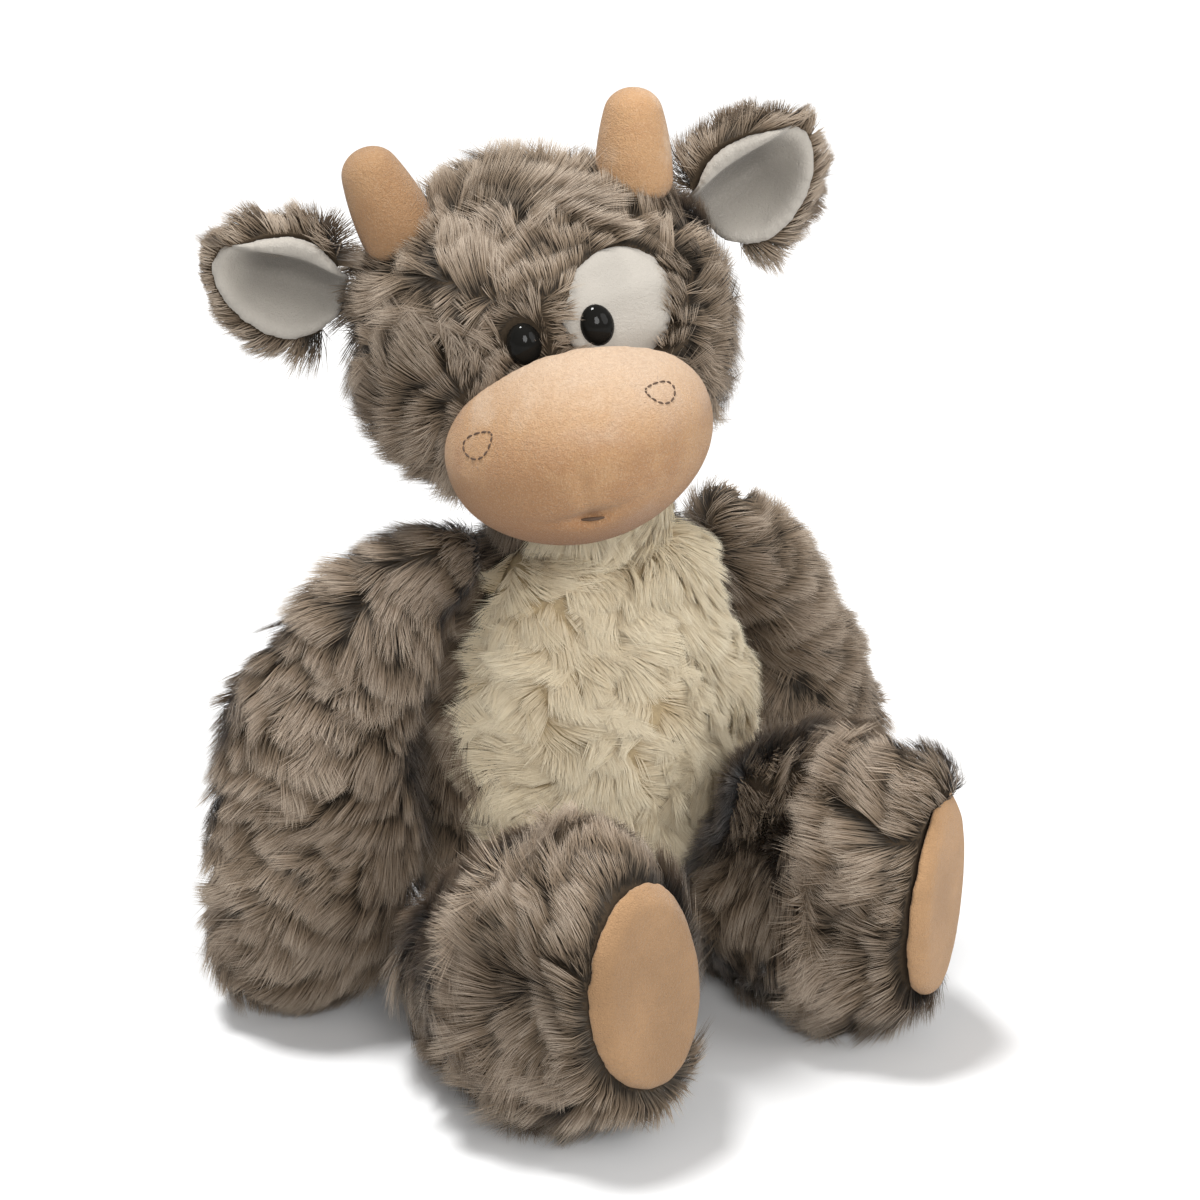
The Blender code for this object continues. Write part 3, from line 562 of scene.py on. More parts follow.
def grow(name, skin, coat, way, material, keep=None, along=None, trim=None, seed=1):
    """Fur over a skin. Way gives the direction it is combed, keep the roots to keep, along how far down the
    coat a root lies, for its tiers, and trim a share of its length at each root; a trimmed strand also starts
    paler, painted light that leaves off part of its painted root shade."""
    rng = np.random.default_rng(seed)
    roots, normals = scatter(skin.data, coat.density, rng)
    if keep is not None:
        kept = keep(roots, normals)
        roots, normals = roots[kept], normals[kept]
    count = len(roots)
    flow = unit(way(roots))
    flow = flow - normals * (flow * normals).sum(axis=1)[:, None]
    upright = np.clip(np.linalg.norm(flow, axis=1) / 0.6, 0.3, 1)
    # Upright strands start paler, so that their dark roots, painted shade, don't show as dark spots from
    # above: painted light.
    start = coat.paled + 0.4 * (1 - upright)
    flow = unit(flow)
    turn = coat.wander * Drift(seed + 1, coat.wavelength)(roots) + rng.normal(0, coat.stray, count)
    flow = flow * np.cos(turn)[:, None] + np.cross(normals, flow) * np.sin(turn)[:, None]

    down = along(roots) if along else (roots * flow.mean(axis=0)).sum(axis=1)
    down = down + coat.wobble * Drift(seed + 2, coat.wavelength)(roots)
    down = down + coat.wobble * 0.5 * Drift(seed + 3, coat.wavelength / 3)(roots)
    bent = roots + 0.0030 * np.stack([Drift(seed + i, 0.014)(roots) for i in (4, 5, 6)], axis=1)
    sheet, middles = nearest(bent, count, coat.sheet, coat.density, rng)
    down = down + (coat.broken * coat.tier * rng.uniform(size=middles))[sheet]
    swing = rng.normal(0, coat.swing, middles)[sheet]
    flow = flow * np.cos(swing)[:, None] + np.cross(normals, flow) * np.sin(swing)[:, None]
    sheet_tone = rng.uniform(size=middles)[sheet]
    step = np.floor(down / coat.tier)
    phase = down / coat.tier - step
    reach = (1 - phase) * coat.tier + coat.overhang
    length = (coat.length * (1 - coat.tiered) + reach * coat.tiered) * rng.uniform(0.92, 1.06, count)
    length = length * upright
    rise = coat.rise * (1 - 0.6 * coat.tiered * phase) * rng.uniform(0.88, 1.08, count)
    rise = rise * (0.68 + 0.6 * sheet_tone)
    if trim is not None:
        share = trim(roots, normals)
        length, rise = length * share, rise * (0.45 + 0.55 * share)
        # Shortened strands start paler: painted light where they lie in shade, as on the backs of the feet
        # and round the eye patch.
        start = start + 0.55 * (1 - share)
    straight = roots + flow * (length * 0.93)[:, None]
    tips = straight + normals * rise[:, None]
    if coat.hug:
        tree = tree_over(copied(skin.data))
        found = [tree.find_nearest(Vector(point))[:2] for point in straight]
        near, above = (np.array(part) for part in zip(*found))
        tips += (near + above * rise[:, None] - tips) * coat.hug

    apart = np.stack([step % 3, sheet % 5, sheet // 5 % 5], axis=1) * (1.0 if coat.tiered > 0.3 else 0.0)
    lock, locks, centre = nearest(roots + apart, count, coat.lock, coat.density, rng, True)
    lock_tips = tips[centre] + (tips[centre] - roots[centre]) * 0.06
    near = np.linalg.norm(roots - roots[centre], axis=1) < coat.lock * 2.5
    bind = coat.bind * rng.uniform(0.55, 1.15, count) * near
    loose = rng.uniform(size=count) < 0.03
    bind[loose] *= 0.2
    tips = tips + (lock_tips - tips) * bind[:, None]
    tips[loose] += normals[loose] * 0.0015

    knees = roots + normals * (rise * (0.95 - 0.40 * coat.tiered))[:, None]
    knees += flow * (length * (0.24 + 0.14 * coat.tiered))[:, None]
    knees += (tips - straight - normals * rise[:, None]) * 0.12
    lock_tone = 0.5 * rng.uniform(size=locks)[lock] + 0.5 * sheet_tone
    # Strands deep in a tier, under the ledge of the tier above, are darkened: painted shade of the ledge's
    # underside, on top of each strand's random tone.
    shade = rng.uniform(size=count) - 2.0 * coat.tiered * fade(phase, 0.55, 1.0)
    tones = np.stack([shade, lock_tone, rng.uniform(size=count)], axis=1)
    width = coat.width * rng.uniform(0.75, 1.25, count)
    return ribbons(name, roots, knees, tips, normals, width, tones, np.minimum(start, 0.7), material)


def toward(direction):
    """A way of combing: everywhere towards one direction."""
    flow = np.array(direction, float)
    return lambda points: np.broadcast_to(flow, points.shape).copy()


def away_from(middle, drop=0.0):
    """A way of combing: outwards from a point, with some droop."""
    middle = np.array(middle, float)

    def way(points):
        out = unit(points - middle)
        out[:, 2] -= drop
        return out

    return way


# Finishes


def toned(colour, share):
    """A colour made darker or paler."""
    return tuple(share * part for part in colour)


def fur_finish(name, root, middle, tip, sheen=0.12):
    """Fur: dark at its roots, painted shade deep in the pile, and pale at its tips, with streaks, locks of
    slightly different tones and painted shade on strands under a tier's ledge.
    """
    finish = Finish(name, 0.62, Sheen_Weight=sheen, Sheen_Roughness=0.4, Specular_IOR_Level=0.25)
    # The second number is each strand's random tone, with the painted shade under a tier's ledge in it.
    along, tone_and_ledge_shade, lock_tone = finish.attribute("strand")
    patches = finish.noise(26, 3)
    place = along + (tone_and_ledge_shade - 0.5) * 0.20 + (lock_tone - 0.5) * 0.20 + (patches - 0.5) * 0.3
    # The ramp's dark root end is painted shade deep in the pile.
    colour = finish.ramp(place, [(0.24, root), (0.64, middle), (1.0, tip)])
    faded = finish.noise(60, 2)
    colour = finish.mix(finish.between(faded, 0.45, 0.75) * 0.18, colour, toned(tip, 0.9))
    finish.colour(colour)
    return finish.material


def cloth_finish(name, colour):
    """The backing cloth under the fur: dark and matt, with a coarse knit."""
    finish = Finish(name, 0.95, Specular_IOR_Level=0.1)
    knit = finish.noise(900, 2)
    finish.colour(finish.mix(knit, toned(colour, 0.55), colour))
    finish.bump(knit, 0.4, 0.0004)
    return finish.material


def velour_finish(name, base, dark, pale, nap=1.0, blush=0.5, cloud=38, painted_light_heights=None, hollow=None):
    """Short velour: fine nap, soft mottling and a sheen, and where asked, painted light and shade: a darker
    bottom, a paler top and a painted shadow in a hollow.
    """
    finish = Finish(name, 0.85, Sheen_Weight=0.2, Sheen_Roughness=0.4, Specular_IOR_Level=0.12)
    fine = finish.noise(2200, 2, 0.6)
    grain = finish.noise(900, 3, 0.65)
    clouds = finish.noise(cloud, 3, 0.55)
    colour = finish.mix(finish.between(clouds, 0.47, 0.62) * blush, base, dark)
    colour = finish.mix(finish.between(clouds, 0.47, 0.34) * 0.5, colour, pale)
    # Painted shade and light: darker towards the bottom and paler towards the top, as light from above falls.
    if painted_light_heights:
        low, high = painted_light_heights
        level = finish.height() + (clouds - 0.5) * 0.04
        colour = finish.mix(finish.between(level, low + (high - low) * 0.55, low) * 0.85, colour, dark)
        colour = finish.mix(finish.between(level, low + (high - low) * 0.62, high) * 0.7, colour, pale)
    # Painted shadow: darker where the mesh's hollow attribute says, as under an ear's rolled rim.
    if hollow:
        deep = finish.attribute("hollow")[0]
        colour = finish.mix(deep * hollow, colour, toned(base, 0.30))
    colour = finish.mix(finish.between(grain, 0.35, 0.68) * 0.14 * nap, colour, dark)
    colour = finish.mix(finish.between(fine, 0.45, 0.75) * 0.2 * nap, colour, pale)
    finish.colour(colour)
    finish.bump(fine * 0.7 + grain * 0.8, 0.6 * nap, 0.0009)
    return finish.material


# Operators


class PlushStep(Operator):
    """One step of dressing the cow."""

    bl_options = {"REGISTER", "UNDO"}

    def execute(self, context):
        self.make(context.scene)
        return {"FINISHED"}


def coat_of(fur, **numbers):
    """The brown coat of the settings, with some numbers of its own."""
    settings = {name: getattr(fur, name) for name in ("length", "width", "tier", "lock", "density")}
    return Coat(**{**settings, **numbers})


def brown(scene):
    """The brown fur's material, made once."""
    fur = scene.cow_fur
    made = bpy.data.materials.get("brown_fur_strands")
    return made or fur_finish("brown_fur_strands", tuple(fur.root), tuple(fur.middle), tuple(fur.tip))


def backing(scene):
    """The material of the cloth under the brown fur, made once."""
    made = bpy.data.materials.get("brown_backing_cloth")
    return made or cloth_finish("brown_backing_cloth", toned(scene.cow_fur.middle, 0.45))


def dress_in_fur(scene, body, coat, way, reform, keep=None, along=None, trim=None, seed=1):
    """A limb's stuffed skin, which stands for its cover and stuffing, and the fur that grows on it."""
    nodes = (f"{body}_cover", f"{body}_stuffing")
    bm = stuffed(nodes[1:], body_voxel, 8, 0.0030, 0.0018, seed)
    reform(bm)
    skin = finished(f"{body}_skin", bm, backing(scene))
    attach(skin, body)
    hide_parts(*nodes)
    fur = grow(f"{body}_fur", skin, coat, way, brown(scene), keep, along, trim, seed)
    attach(fur, body)


class PLUSH_OT_torso(PlushStep):
    """Makes the torso's stuffed skin and fur, and the neck inside it."""

    bl_idname = "plush.torso"
    bl_label = "Torso"

    def make(self, scene):
        panel = tree_over(packed("belly_panel"))
        coat = coat_of(scene.cow_fur)
        bm = stuffed(("torso_stuffing", "pellet_bag"), body_voxel, 8, 0.0030, 0.0010, 11)
        for vert in bm.verts:
            low = fade(vert.co.z, 0.075, 0.035) * fade(vert.co.z, 0.004, 0.016)
            vert.co.x -= hip_swell * low * fade(vert.co.x, -0.030, -0.060)
        skin = finished("torso_skin", bm, backing(scene))
        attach(skin, "torso")
        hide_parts("torso_cover", "torso_stuffing", "pellet_bag")

        spots = np.array([vert.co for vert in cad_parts["belly_panel"].data.vertices])
        top = spots[:, 2].max()
        spots = spots[spots[:, 2] > top - 0.022]
        widest = np.arctan2(spots[:, 0], -spots[:, 1])

        def chest(points):
            """The front of the torso's top, up to the neck, where the cream fur goes on."""
            turn = np.arctan2(points[:, 0], -points[:, 1])
            wider = 0.05 + 0.17 * fade(points[:, 2], top - 0.050, top - 0.015)
            in_front = (turn > widest.min() - wider) & (turn < widest.max() - 0.05)
            return (points[:, 2] > top - 0.045) & in_front

        def on_panel(points, normals):
            return covered(points, normals, panel, 0.012) | chest(points)

        def off_panel(points, normals):
            return ~on_panel(points, normals) & (points[:, 2] > 0.004)

        def depth(points):
            return -points[:, 2]

        downwards = toward((0, 0, -1))
        for half, side in (("left", 1), ("right", -1)):

            def keep(points, normals, side=side):
                return off_panel(points, normals) & (points[:, 0] * side >= 0)

            fur = grow(f"torso_fur_{half}", skin, coat, downwards, brown(scene), keep, depth, seed=12)
            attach(fur, "torso")

        root, tip = tuple(scene.cow_fur.cream_root), tuple(scene.cow_fur.cream_tip)
        cream = fur_finish("cream_fur_strands", root, tuple((a + b) / 2 for a, b in zip(root, tip)), tip)
        cream_cloth = cloth_finish("cream_backing_cloth", root)
        bm = copied(skin.data)
        bm.normal_update()
        outside = [
            face for face in bm.faces
            if not on_panel(np.array([face.calc_center_median()]), np.array([face.normal]))[0]
        ]
        bmesh.ops.delete(bm, geom=outside, context="FACES")
        for vert in bm.verts:
            vert.co += vert.normal * 0.0012
        bmesh.ops.solidify(bm, geom=bm.faces, thickness=0.0008)
        cloth = finished("belly_skin", bm, cream_cloth)
        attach(cloth, "torso")
        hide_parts("belly_panel")
        belly = Coat(
            length=0.0095, rise=0.0074, tier=0.013, tiered=0.6, overhang=0.0048, lock=0.0034, bind=0.35,
            wander=0.6, stray=0.09, wobble=0.006, wavelength=0.032, density=600, width=0.00021, swing=0.6,
            sheet=0.013, paled=0.2,
        )
        tufts = grow("belly_fur", skin, belly, downwards, cream, on_panel, depth, seed=21)
        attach(tufts, "torso")

        neck = finished("neck_skin", stuffed(("neck_stuffing",), body_voxel, 3, 0), backing(scene))
        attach(neck, "neck")
        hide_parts("neck_stuffing")
        short = coat_of(scene.cow_fur, length=0.010, rise=0.0085, tiered=0.8, sheet=0.014, swing=0.45)

        for name, neck_coat, front, material, slot in (
            ("neck_fur", short, False, brown(scene), "brown_fur"),
            ("neck_fur_front", belly, True, cream, "cream_fur"),
        ):

            def round_neck(points, normals, front=front):
                turn = np.arctan2(points[:, 0], -points[:, 1])
                level = np.abs(points[:, 2] - neck_height - 0.004) < 0.016
                return level & ((np.abs(turn + 0.1) < radians(60)) == front)

            ruff = grow(name, neck, neck_coat, downwards, material, round_neck, seed=24)
            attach(ruff, "neck")


def head_places(points):
    """Points in the head's own frame."""
    back = np.array(HEAD.inverted())
    return points @ back[:3, :3].T + back[:3, 3]


class PLUSH_OT_head(PlushStep):
    """Makes the head's stuffed skin and fur."""

    bl_idname = "plush.head"
    bl_label = "Head"

    def make(self, scene):
        muzzle = tree_over(packed("muzzle_cover"))
        horns = tree_over(packed("left_horn_cover", "right_horn_cover"))
        coat = coat_of(
            scene.cow_fur, length=0.0105, tiered=0.9, wander=0.6, stray=0.12, rise=0.0098, wavelength=0.036,
            overhang=0.0044, sheet=0.0125, broken=1.0, swing=0.75, tier=0.0105, hug=0.8,
        )
        bm = stuffed(("head_stuffing",), body_voxel, 8, 0.0028, 0.0014, 31)
        skin = finished("head_skin", bm, backing(scene))
        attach(skin, "head")
        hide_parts("head_cover", "head_stuffing")
        face = HEAD @ face_middle

        def bare(points, normals):
            hidden = covered(points, normals, muzzle, 0.006)
            hidden |= covered(points, normals, horns, 0.012)
            local = head_places(points)
            hidden |= in_oval(local, patch_middle, patch_half)
            hidden |= in_oval(local, right_eye_middle, right_eye_half)
            hidden |= (local[:, 2] < -0.040) & (np.linalg.norm(points[:, :2], axis=1) < 0.022)
            return ~hidden

        def trim(points, normals):
            local = head_places(points)
            share = np.clip((far_from(local, brow_middle) - 0.010) / 0.030, 0, 1)
            # Strands round the eye patch are shorter and so start paler: painted light against the shadow
            # round the recessed patch.
            share = share * (1 - 0.5 * fade(far_from(local, patch_middle), 0.027, 0.016))
            aside = np.stack([np.abs(local[:, 0]), local[:, 1], local[:, 2]], axis=1) - np.array(ear_seam)
            by_ear = fade(np.linalg.norm(aside, axis=1), 0.024, 0.012)
            return np.where(local[:, 1] < 0, 0.45 + 0.55 * share, 1) * (1 + 0.5 * by_ear)

        def along(points):
            return np.linalg.norm(points - np.array(face), axis=1)

        for half, side in (("left", 1), ("right", -1)):

            def keep(points, normals, side=side):
                return bare(points, normals) & (head_places(points)[:, 0] * side >= 0)

            way = away_from(face, 0.15)
            fur = grow(f"head_fur_{half}", skin, coat, way, brown(scene), keep, along, trim, 32)
            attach(fur, "head")


class PLUSH_OT_face(PlushStep):
    """Makes the muzzle, the eye patch, the eyes and the stitching."""

    bl_idname = "plush.face"
    bl_label = "Face"

    def make(self, scene):
        velour = scene.cow_velour
        bm = stuffed(("muzzle_cover", "muzzle_stuffing"), muzzle_voxel, 24, 0.0007)
        bmesh.ops.translate(bm, vec=muzzle_shift * look_across, verts=bm.verts)
        mouth = BVHTree.FromBMesh(bm).ray_cast(*sight(scene, *mouth_pixel))[0]
        back = HEAD.inverted()
        inwards = HEAD.to_3x3() @ Vector((0, 1, 0))
        sideways = HEAD.to_3x3() @ Matrix.Rotation(muzzle_tilt, 3, "Y") @ Vector((1, 0, 0))
        upwards = inwards.cross(sideways) * -1
        for vert in bm.verts:
            across, rise = (vert.co - mouth) @ sideways, (vert.co - mouth) @ upwards
            if (vert.co - mouth) @ inwards < 0.015:
                curve = rise - 0.10 * abs(across)
                pull = mouth_pull * np.exp(-((across / 0.0062) ** 2 + (rise / 0.0026) ** 2))
                lip = lip_rise * np.exp(-((across / 0.0170) ** 2 + (curve / 0.0016) ** 2))
                fold = lip_fold * np.exp(-((across / 0.0018) ** 2))
                fold *= fade(rise, 0.026, 0.014) * fade(rise, -0.002, 0.002)
                vert.co += inwards * (pull + lip + fold)
        # The muzzle's height span, over which painted shade darkens its bottom and painted light pales its
        # top.
        heights = [vert.co.z for vert in bm.verts]
        peach = velour_finish(
            "peach_velour_nap", tuple(velour.peach), tuple(velour.blush), tuple(velour.pale), 1.5, 0.42, 42,
            (min(heights), max(heights)),
        )
        bmesh.ops.recalc_face_normals(bm, faces=bm.faces)
        muzzle = finished("muzzle", bm, peach)
        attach(muzzle, "head")
        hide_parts("muzzle_cover", "muzzle_stuffing")

        shade = toned(velour.white, 0.70)
        white = velour_finish("white_velour_nap", shade, toned(shade, 0.86), toned(shade, 1.1), 0.6)
        bm = stuffed(("eye_patch",), sheet_voxel, 16, 0.0006)
        for vert in bm.verts:
            local = back @ vert.co
            lift = -0.0010 - 0.0014 * fade(local.x, 0.022, 0.034)
            vert.co += HEAD.to_3x3() @ Vector((0, lift, -0.0016 * fade(local.z, 0.010, 0.030)))
        patch = finished("eye_patch_velour", bm, white)
        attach(patch, "head")
        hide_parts("eye_patch")

        gloss = Finish("black_gloss", 0.05, Specular_IOR_Level=0.12)
        gloss.colour(gloss.mix(gloss.noise(300), (0.006, 0.006, 0.005), (0.012, 0.011, 0.010)))
        for side in ("left", "right"):
            bm = packed(f"{side}_eye")
            bmesh.ops.remove_doubles(bm, verts=bm.verts, dist=same_place)
            eye = finished(f"{side}_eye_gloss", bm, gloss.material)
            smooth = eye.modifiers.new("Smooth", "SUBSURF")
            smooth.levels = smooth.render_levels = 2
            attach(eye, "head")
            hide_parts(f"{side}_eye")
        nylon = Finish("nylon", 0.4)
        nylon.colour(nylon.mix(nylon.noise(200), (0.70, 0.70, 0.67), (0.80, 0.80, 0.78)))
        for side in ("left", "right"):
            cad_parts[f"{side}_eye_washer"].data.materials[0] = nylon.material
        self.stitches(scene, muzzle)

    def stitches(self, scene, muzzle):
        """Both nostrils' outlines and the mouth's one stitch, laid on the muzzle."""
        thread = Finish("brown_stitch_thread", 0.7)
        ply = thread.noise(2500, 2, 0.6)
        thread.colour(thread.mix(ply, (0.060, 0.034, 0.020), (0.15, 0.09, 0.055)))
        thread.bump(ply, 0.5, 0.0002)
        front = tree_over(copied(muzzle.data))

        def spot(across, down):
            return front.ray_cast(*sight(scene, across, down))[:2]

        for name, middle, half, lean in (
            ("right", right_nostril_pixel, right_nostril_half, radians(right_nostril_lean)),
            ("left", left_nostril_pixel, left_nostril_half, radians(left_nostril_lean)),
        ):
            spots = []
            for i in range(120):
                turn = 2 * pi * i / 120
                x = half[0] * cos(turn)
                y = half[1] * sin(turn) * (1 - 0.42 * cos(turn))
                across = middle[0] + x * cos(lean) + y * sin(lean)
                down = middle[1] - x * sin(lean) + y * cos(lean)
                spots.append(spot(across, down))
            self.stitch_line(f"{name}_nostril_thread", f"{name}_nostril_stitch", spots, 13, thread.material)
        left, level = mouth_line_start
        spots = [spot(left + i, level - mouth_line_rise * i) for i in range(mouth_line_run)]
        self.stitch_line("mouth_thread", "mouth_stitch", spots, 1, thread.material, 0.00055)

    def stitch_line(self, name, node, spots, count, material, thick=0.00031):
        """Short stitches along a line of spots, each a rounded thread that dips into the velour."""
        bm = bmesh.new()
        run = len(spots) / count
        for i in range(count):
            first, last = int(i * run), min(int((i + 0.97) * run), len(spots) - 1)
            (start, up_start), (end, up_end) = spots[first], spots[last]
            along = end - start
            up = (up_start + up_end).normalized()
            side = along.cross(up).normalized()
            made = bmesh.ops.create_uvsphere(bm, u_segments=12, v_segments=8, radius=1)["verts"]
            half = along.length / 2
            for vert in made:
                x, y, z = vert.co
                offset = along.normalized() * (z * half) + side * (x * thick) + up * (y * thick)
                vert.co = (start + end) / 2 + offset - up * (thick * (1.2 * z * z - 0.5))
        bmesh.ops.recalc_face_normals(bm, faces=bm.faces)
        made = finished(name, bm, material)
        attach(made, "head")
        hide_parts(node)


class PLUSH_OT_horns(PlushStep):
    """Makes the two velour horns."""

    bl_idname = "plush.horns"
    bl_label = "Horns"

    def make(self, scene):
        velour = scene.cow_velour
        # The left horn is a paler copy of the peach velour, painted light, and the right a darker copy,
        # painted shade.
        for side, sign, painted_light_share in (("left", 1, 1.08), ("right", -1, 0.85)):
            colours = (toned(colour, painted_light_share) for colour in (velour.peach, velour.blush, velour.pale))
            peach = velour_finish(f"{side}_horn_velour_nap", *colours, 1.3, 0.25)
            across = sign * horn_spread + horn_shift
            top = crown_height * sqrt(1 - (2 * across / crown_width) ** 2)
            profile = [(0.0116, 0), (0.0116, 0.009), (0.0110, 0.016), (0.0100, 0.022), (0.0090, 0.0262)]
            profile += [(0.0090 * cos(turn), 0.0262 + 0.0078 * sin(turn)) for turn in (0.45, 0.85, 1.2)]
            profile += [(0, 0.034)]
            bm = bmesh.new()
            verts = [bm.verts.new((radius, 0, height)) for radius, height in profile]
            edges = [bm.edges.new(pair) for pair in zip(verts, verts[1:])]
            bmesh.ops.spin(
                bm, geom=verts + edges, cent=(0, 0, 0), axis=(0, 0, 1), angle=2 * pi, steps=28, use_merge=True
            )
            bmesh.ops.remove_doubles(bm, verts=bm.verts, dist=1e-6)
            rim = [edge for edge in bm.edges if edge.is_boundary]
            bmesh.ops.contextual_create(bm, geom=rim)
            lean = Matrix.Rotation(sign * horn_lean, 4, "Y")
            place = HEAD @ Matrix.Translation((across, 0, top - horn_sink)) @ lean
            bmesh.ops.transform(bm, matrix=place, verts=bm.verts)
            bmesh.ops.recalc_face_normals(bm, faces=bm.faces)
            horn = finished(f"{side}_horn", bm, peach)
            smooth = horn.modifiers.new("Smooth", "SUBSURF")
            smooth.levels = smooth.render_levels = 2
            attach(horn, "head")
            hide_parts(f"{side}_horn_cover", f"{side}_horn_stuffing")


class PLUSH_OT_ears(PlushStep):
    """Makes the two ears, each a furry back and a cupped velour lining."""

    bl_idname = "plush.ears"
    bl_label = "Ears"

    def make(self, scene):
        velour = scene.cow_velour
        rim = toned(velour.white, 0.72)
        white = velour_finish("ear_velour_nap", rim, toned(rim, 0.84), toned(rim, 1.1), 0.8, hollow=0.75)
        for side, sign in (("left", 1), ("right", -1)):
            body = f"{side}_ear"
            form, depth = self.cupped(f"{side}_ear_lining", sign)
            bm = stuffed((f"{side}_ear_lining",), sheet_voxel, 8, 0.0017)
            # Each lining point's share of painted shadow, stored as the hollow attribute.
            painted_hollow_shade = [depth(vert.co) for vert in bm.verts]
            lining = finished(f"{side}_ear_velour", form(bm), white)
            painted_hollow_layer = lining.data.attributes.new("hollow", "FLOAT_VECTOR", "POINT")
            painted_hollow_layer.data.foreach_set("vector", np.repeat(painted_hollow_shade, 3).astype(np.float32))
            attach(lining, body)
            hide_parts(f"{side}_ear_lining")
            low, high = (Vector(corner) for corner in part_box(f"{side}_ear_back"))
            middle = (low + high) / 2
            root = HEAD @ Vector((sign * ear_root[0], *ear_root[1:]))
            skin = form(stuffed((f"{side}_ear_back",), muzzle_voxel, 5, -0.0012), 0.14)
            skin = finished(f"{side}_ear_skin", skin, backing(scene))
            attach(skin, body)
            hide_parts(f"{side}_ear_back")
            cover = BVHTree.FromObject(lining, bpy.context.evaluated_depsgraph_get())
            # The ear fur's paled roots are painted light against the shade round the lining.
            coat = coat_of(
                scene.cow_fur, length=0.0112, tiered=0.1, rise=0.0036, bind=0.5, wander=0.4, stray=0.2,
                wavelength=0.024, density=420, paled=0.42, hug=0.0,
            )
            tip = middle + (middle - root)
            centre = root.lerp(middle, 0.62)

            def keep(points, normals, cover=cover):
                return ~covered(points + normals * 0.0005, normals, cover, 0.01)

            def ragged(points, normals, tip=np.array(tip), root=np.array(root)):
                far = fade(np.linalg.norm(points - tip, axis=1), 0.010, 0.036)
                near = fade(np.linalg.norm(points - root, axis=1), 0.030, 0.012)
                uneven = 0.9 + 0.22 * Drift(53, 0.013)(points)
                return np.clip((0.6 + 0.4 * far + 0.5 * near) * uneven, 0.3, 1.6)

            way = away_from(centre, 0.05)
            fur = grow(f"{side}_ear_fur", skin, coat, way, brown(scene), keep, trim=ragged, seed=51)
            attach(fur, body)

    def cupped(self, node, sign):
        """What turns a flat ear into a cupped one: a deep hollow, an upper rim that rolls forwards and a
        narrower root."""
        places = np.array([vert.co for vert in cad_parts[node].data.vertices])
        middle = places.mean(axis=0)
        _, spread = np.linalg.eigh(np.cov((places - middle).T))
        ways = ((0, -1, 0), (0, 0, 1), (sign, 0, 0))
        front, up, outwards = (np.array(HEAD.to_3x3() @ Vector(way)) for way in ways)
        thin, wide, long = spread.T
        thin = thin * np.sign(thin @ front)
        wide = wide * np.sign(wide @ up)
        long = long * np.sign(long @ outwards)
        half = np.abs((places - middle) @ wide).max()
        reach = np.abs((places - middle) @ long).max()
        shift = up * ear_lift - outwards * (0.0025 if sign > 0 else 0.0010)

        def spot(point):
            place = np.array(point) - middle
            return place @ wide / half, place @ long / reach

        # How much painted shadow lies on a point, from 0 to 1: darkest just under the rolled upper rim,
        # fading down across the lining and towards its tip.
        def depth(point):
            across, along = spot(point)
            return fade(across, 0.50, 0.30) * fade(across, -0.85, 0.15) * (1 - fade(along, 0.45, 0.9))

        def form(bm, shrink=0.0):
            for vert in bm.verts:
                across, along = spot(vert.co)
                hollow = ear_hollow * np.exp(-(((across + 0.02) / 0.42) ** 2)) * (1 - 0.6 * along**2)
                roll = fade(across, 0.35, 0.75)
                narrow = 0.30 * fade(along, 0.1, -1.0) + shrink
                move = thin * (ear_rim_roll * roll - hollow)
                move = move - wide * (ear_rim_drop * roll + narrow * across * half)
                move -= long * (shrink * max(along, 0) * reach)
                vert.co += Vector(move + shift)
            return bm

        return form, depth


class PLUSH_OT_arms(PlushStep):
    """Makes the two furry arms."""

    bl_idname = "plush.arms"
    bl_label = "Arms"

    def make(self, scene):
        for side, sign, height, seed in (("left", 1, 0.126, 61), ("right", -1, 0.139, 71)):
            shoulder = np.array((sign * 0.045, 0.0, height))
            paw = np.array((sign * 0.100, 0.016, 0.020))
            axis = (paw - shoulder) / np.linalg.norm(paw - shoulder)
            coat = coat_of(scene.cow_fur, tiered=0.85, swing=0.42, broken=1.0, sheet=0.0165, wobble=0.0055)
            inside = np.array((0, 0.004, height - 0.035))

            def comb(points, inside=inside, axis=axis):
                out = points - inside
                far = np.linalg.norm(out, axis=1)[:, None]
                return out / far * np.clip(1.7 - far / 0.06, 0, 1) + axis * np.clip(far / 0.06 - 0.5, 0, 1)

            def swell(bm, sign=sign, shoulder=shoulder, axis=axis):
                inwards = np.array((-sign * 0.92, -0.38, 0.0))
                for vert in bm.verts:
                    down = (np.array(vert.co) - shoulder) @ axis
                    share = fade(down, 0.045, 0.085) * fade(np.array(vert.normal) @ inwards, 0.0, 0.9)
                    top = fade(down, 0.022, -0.012) * fade(vert.normal.z, 0.0, 0.8)
                    vert.co += Vector(inwards * (paw_swell * share)) + Vector((0, 0, shoulder_swell * top))

            def along(points, axis=axis):
                return points @ axis

            dress_in_fur(scene, f"{side}_arm", coat, comb, swell, along=along, seed=seed)


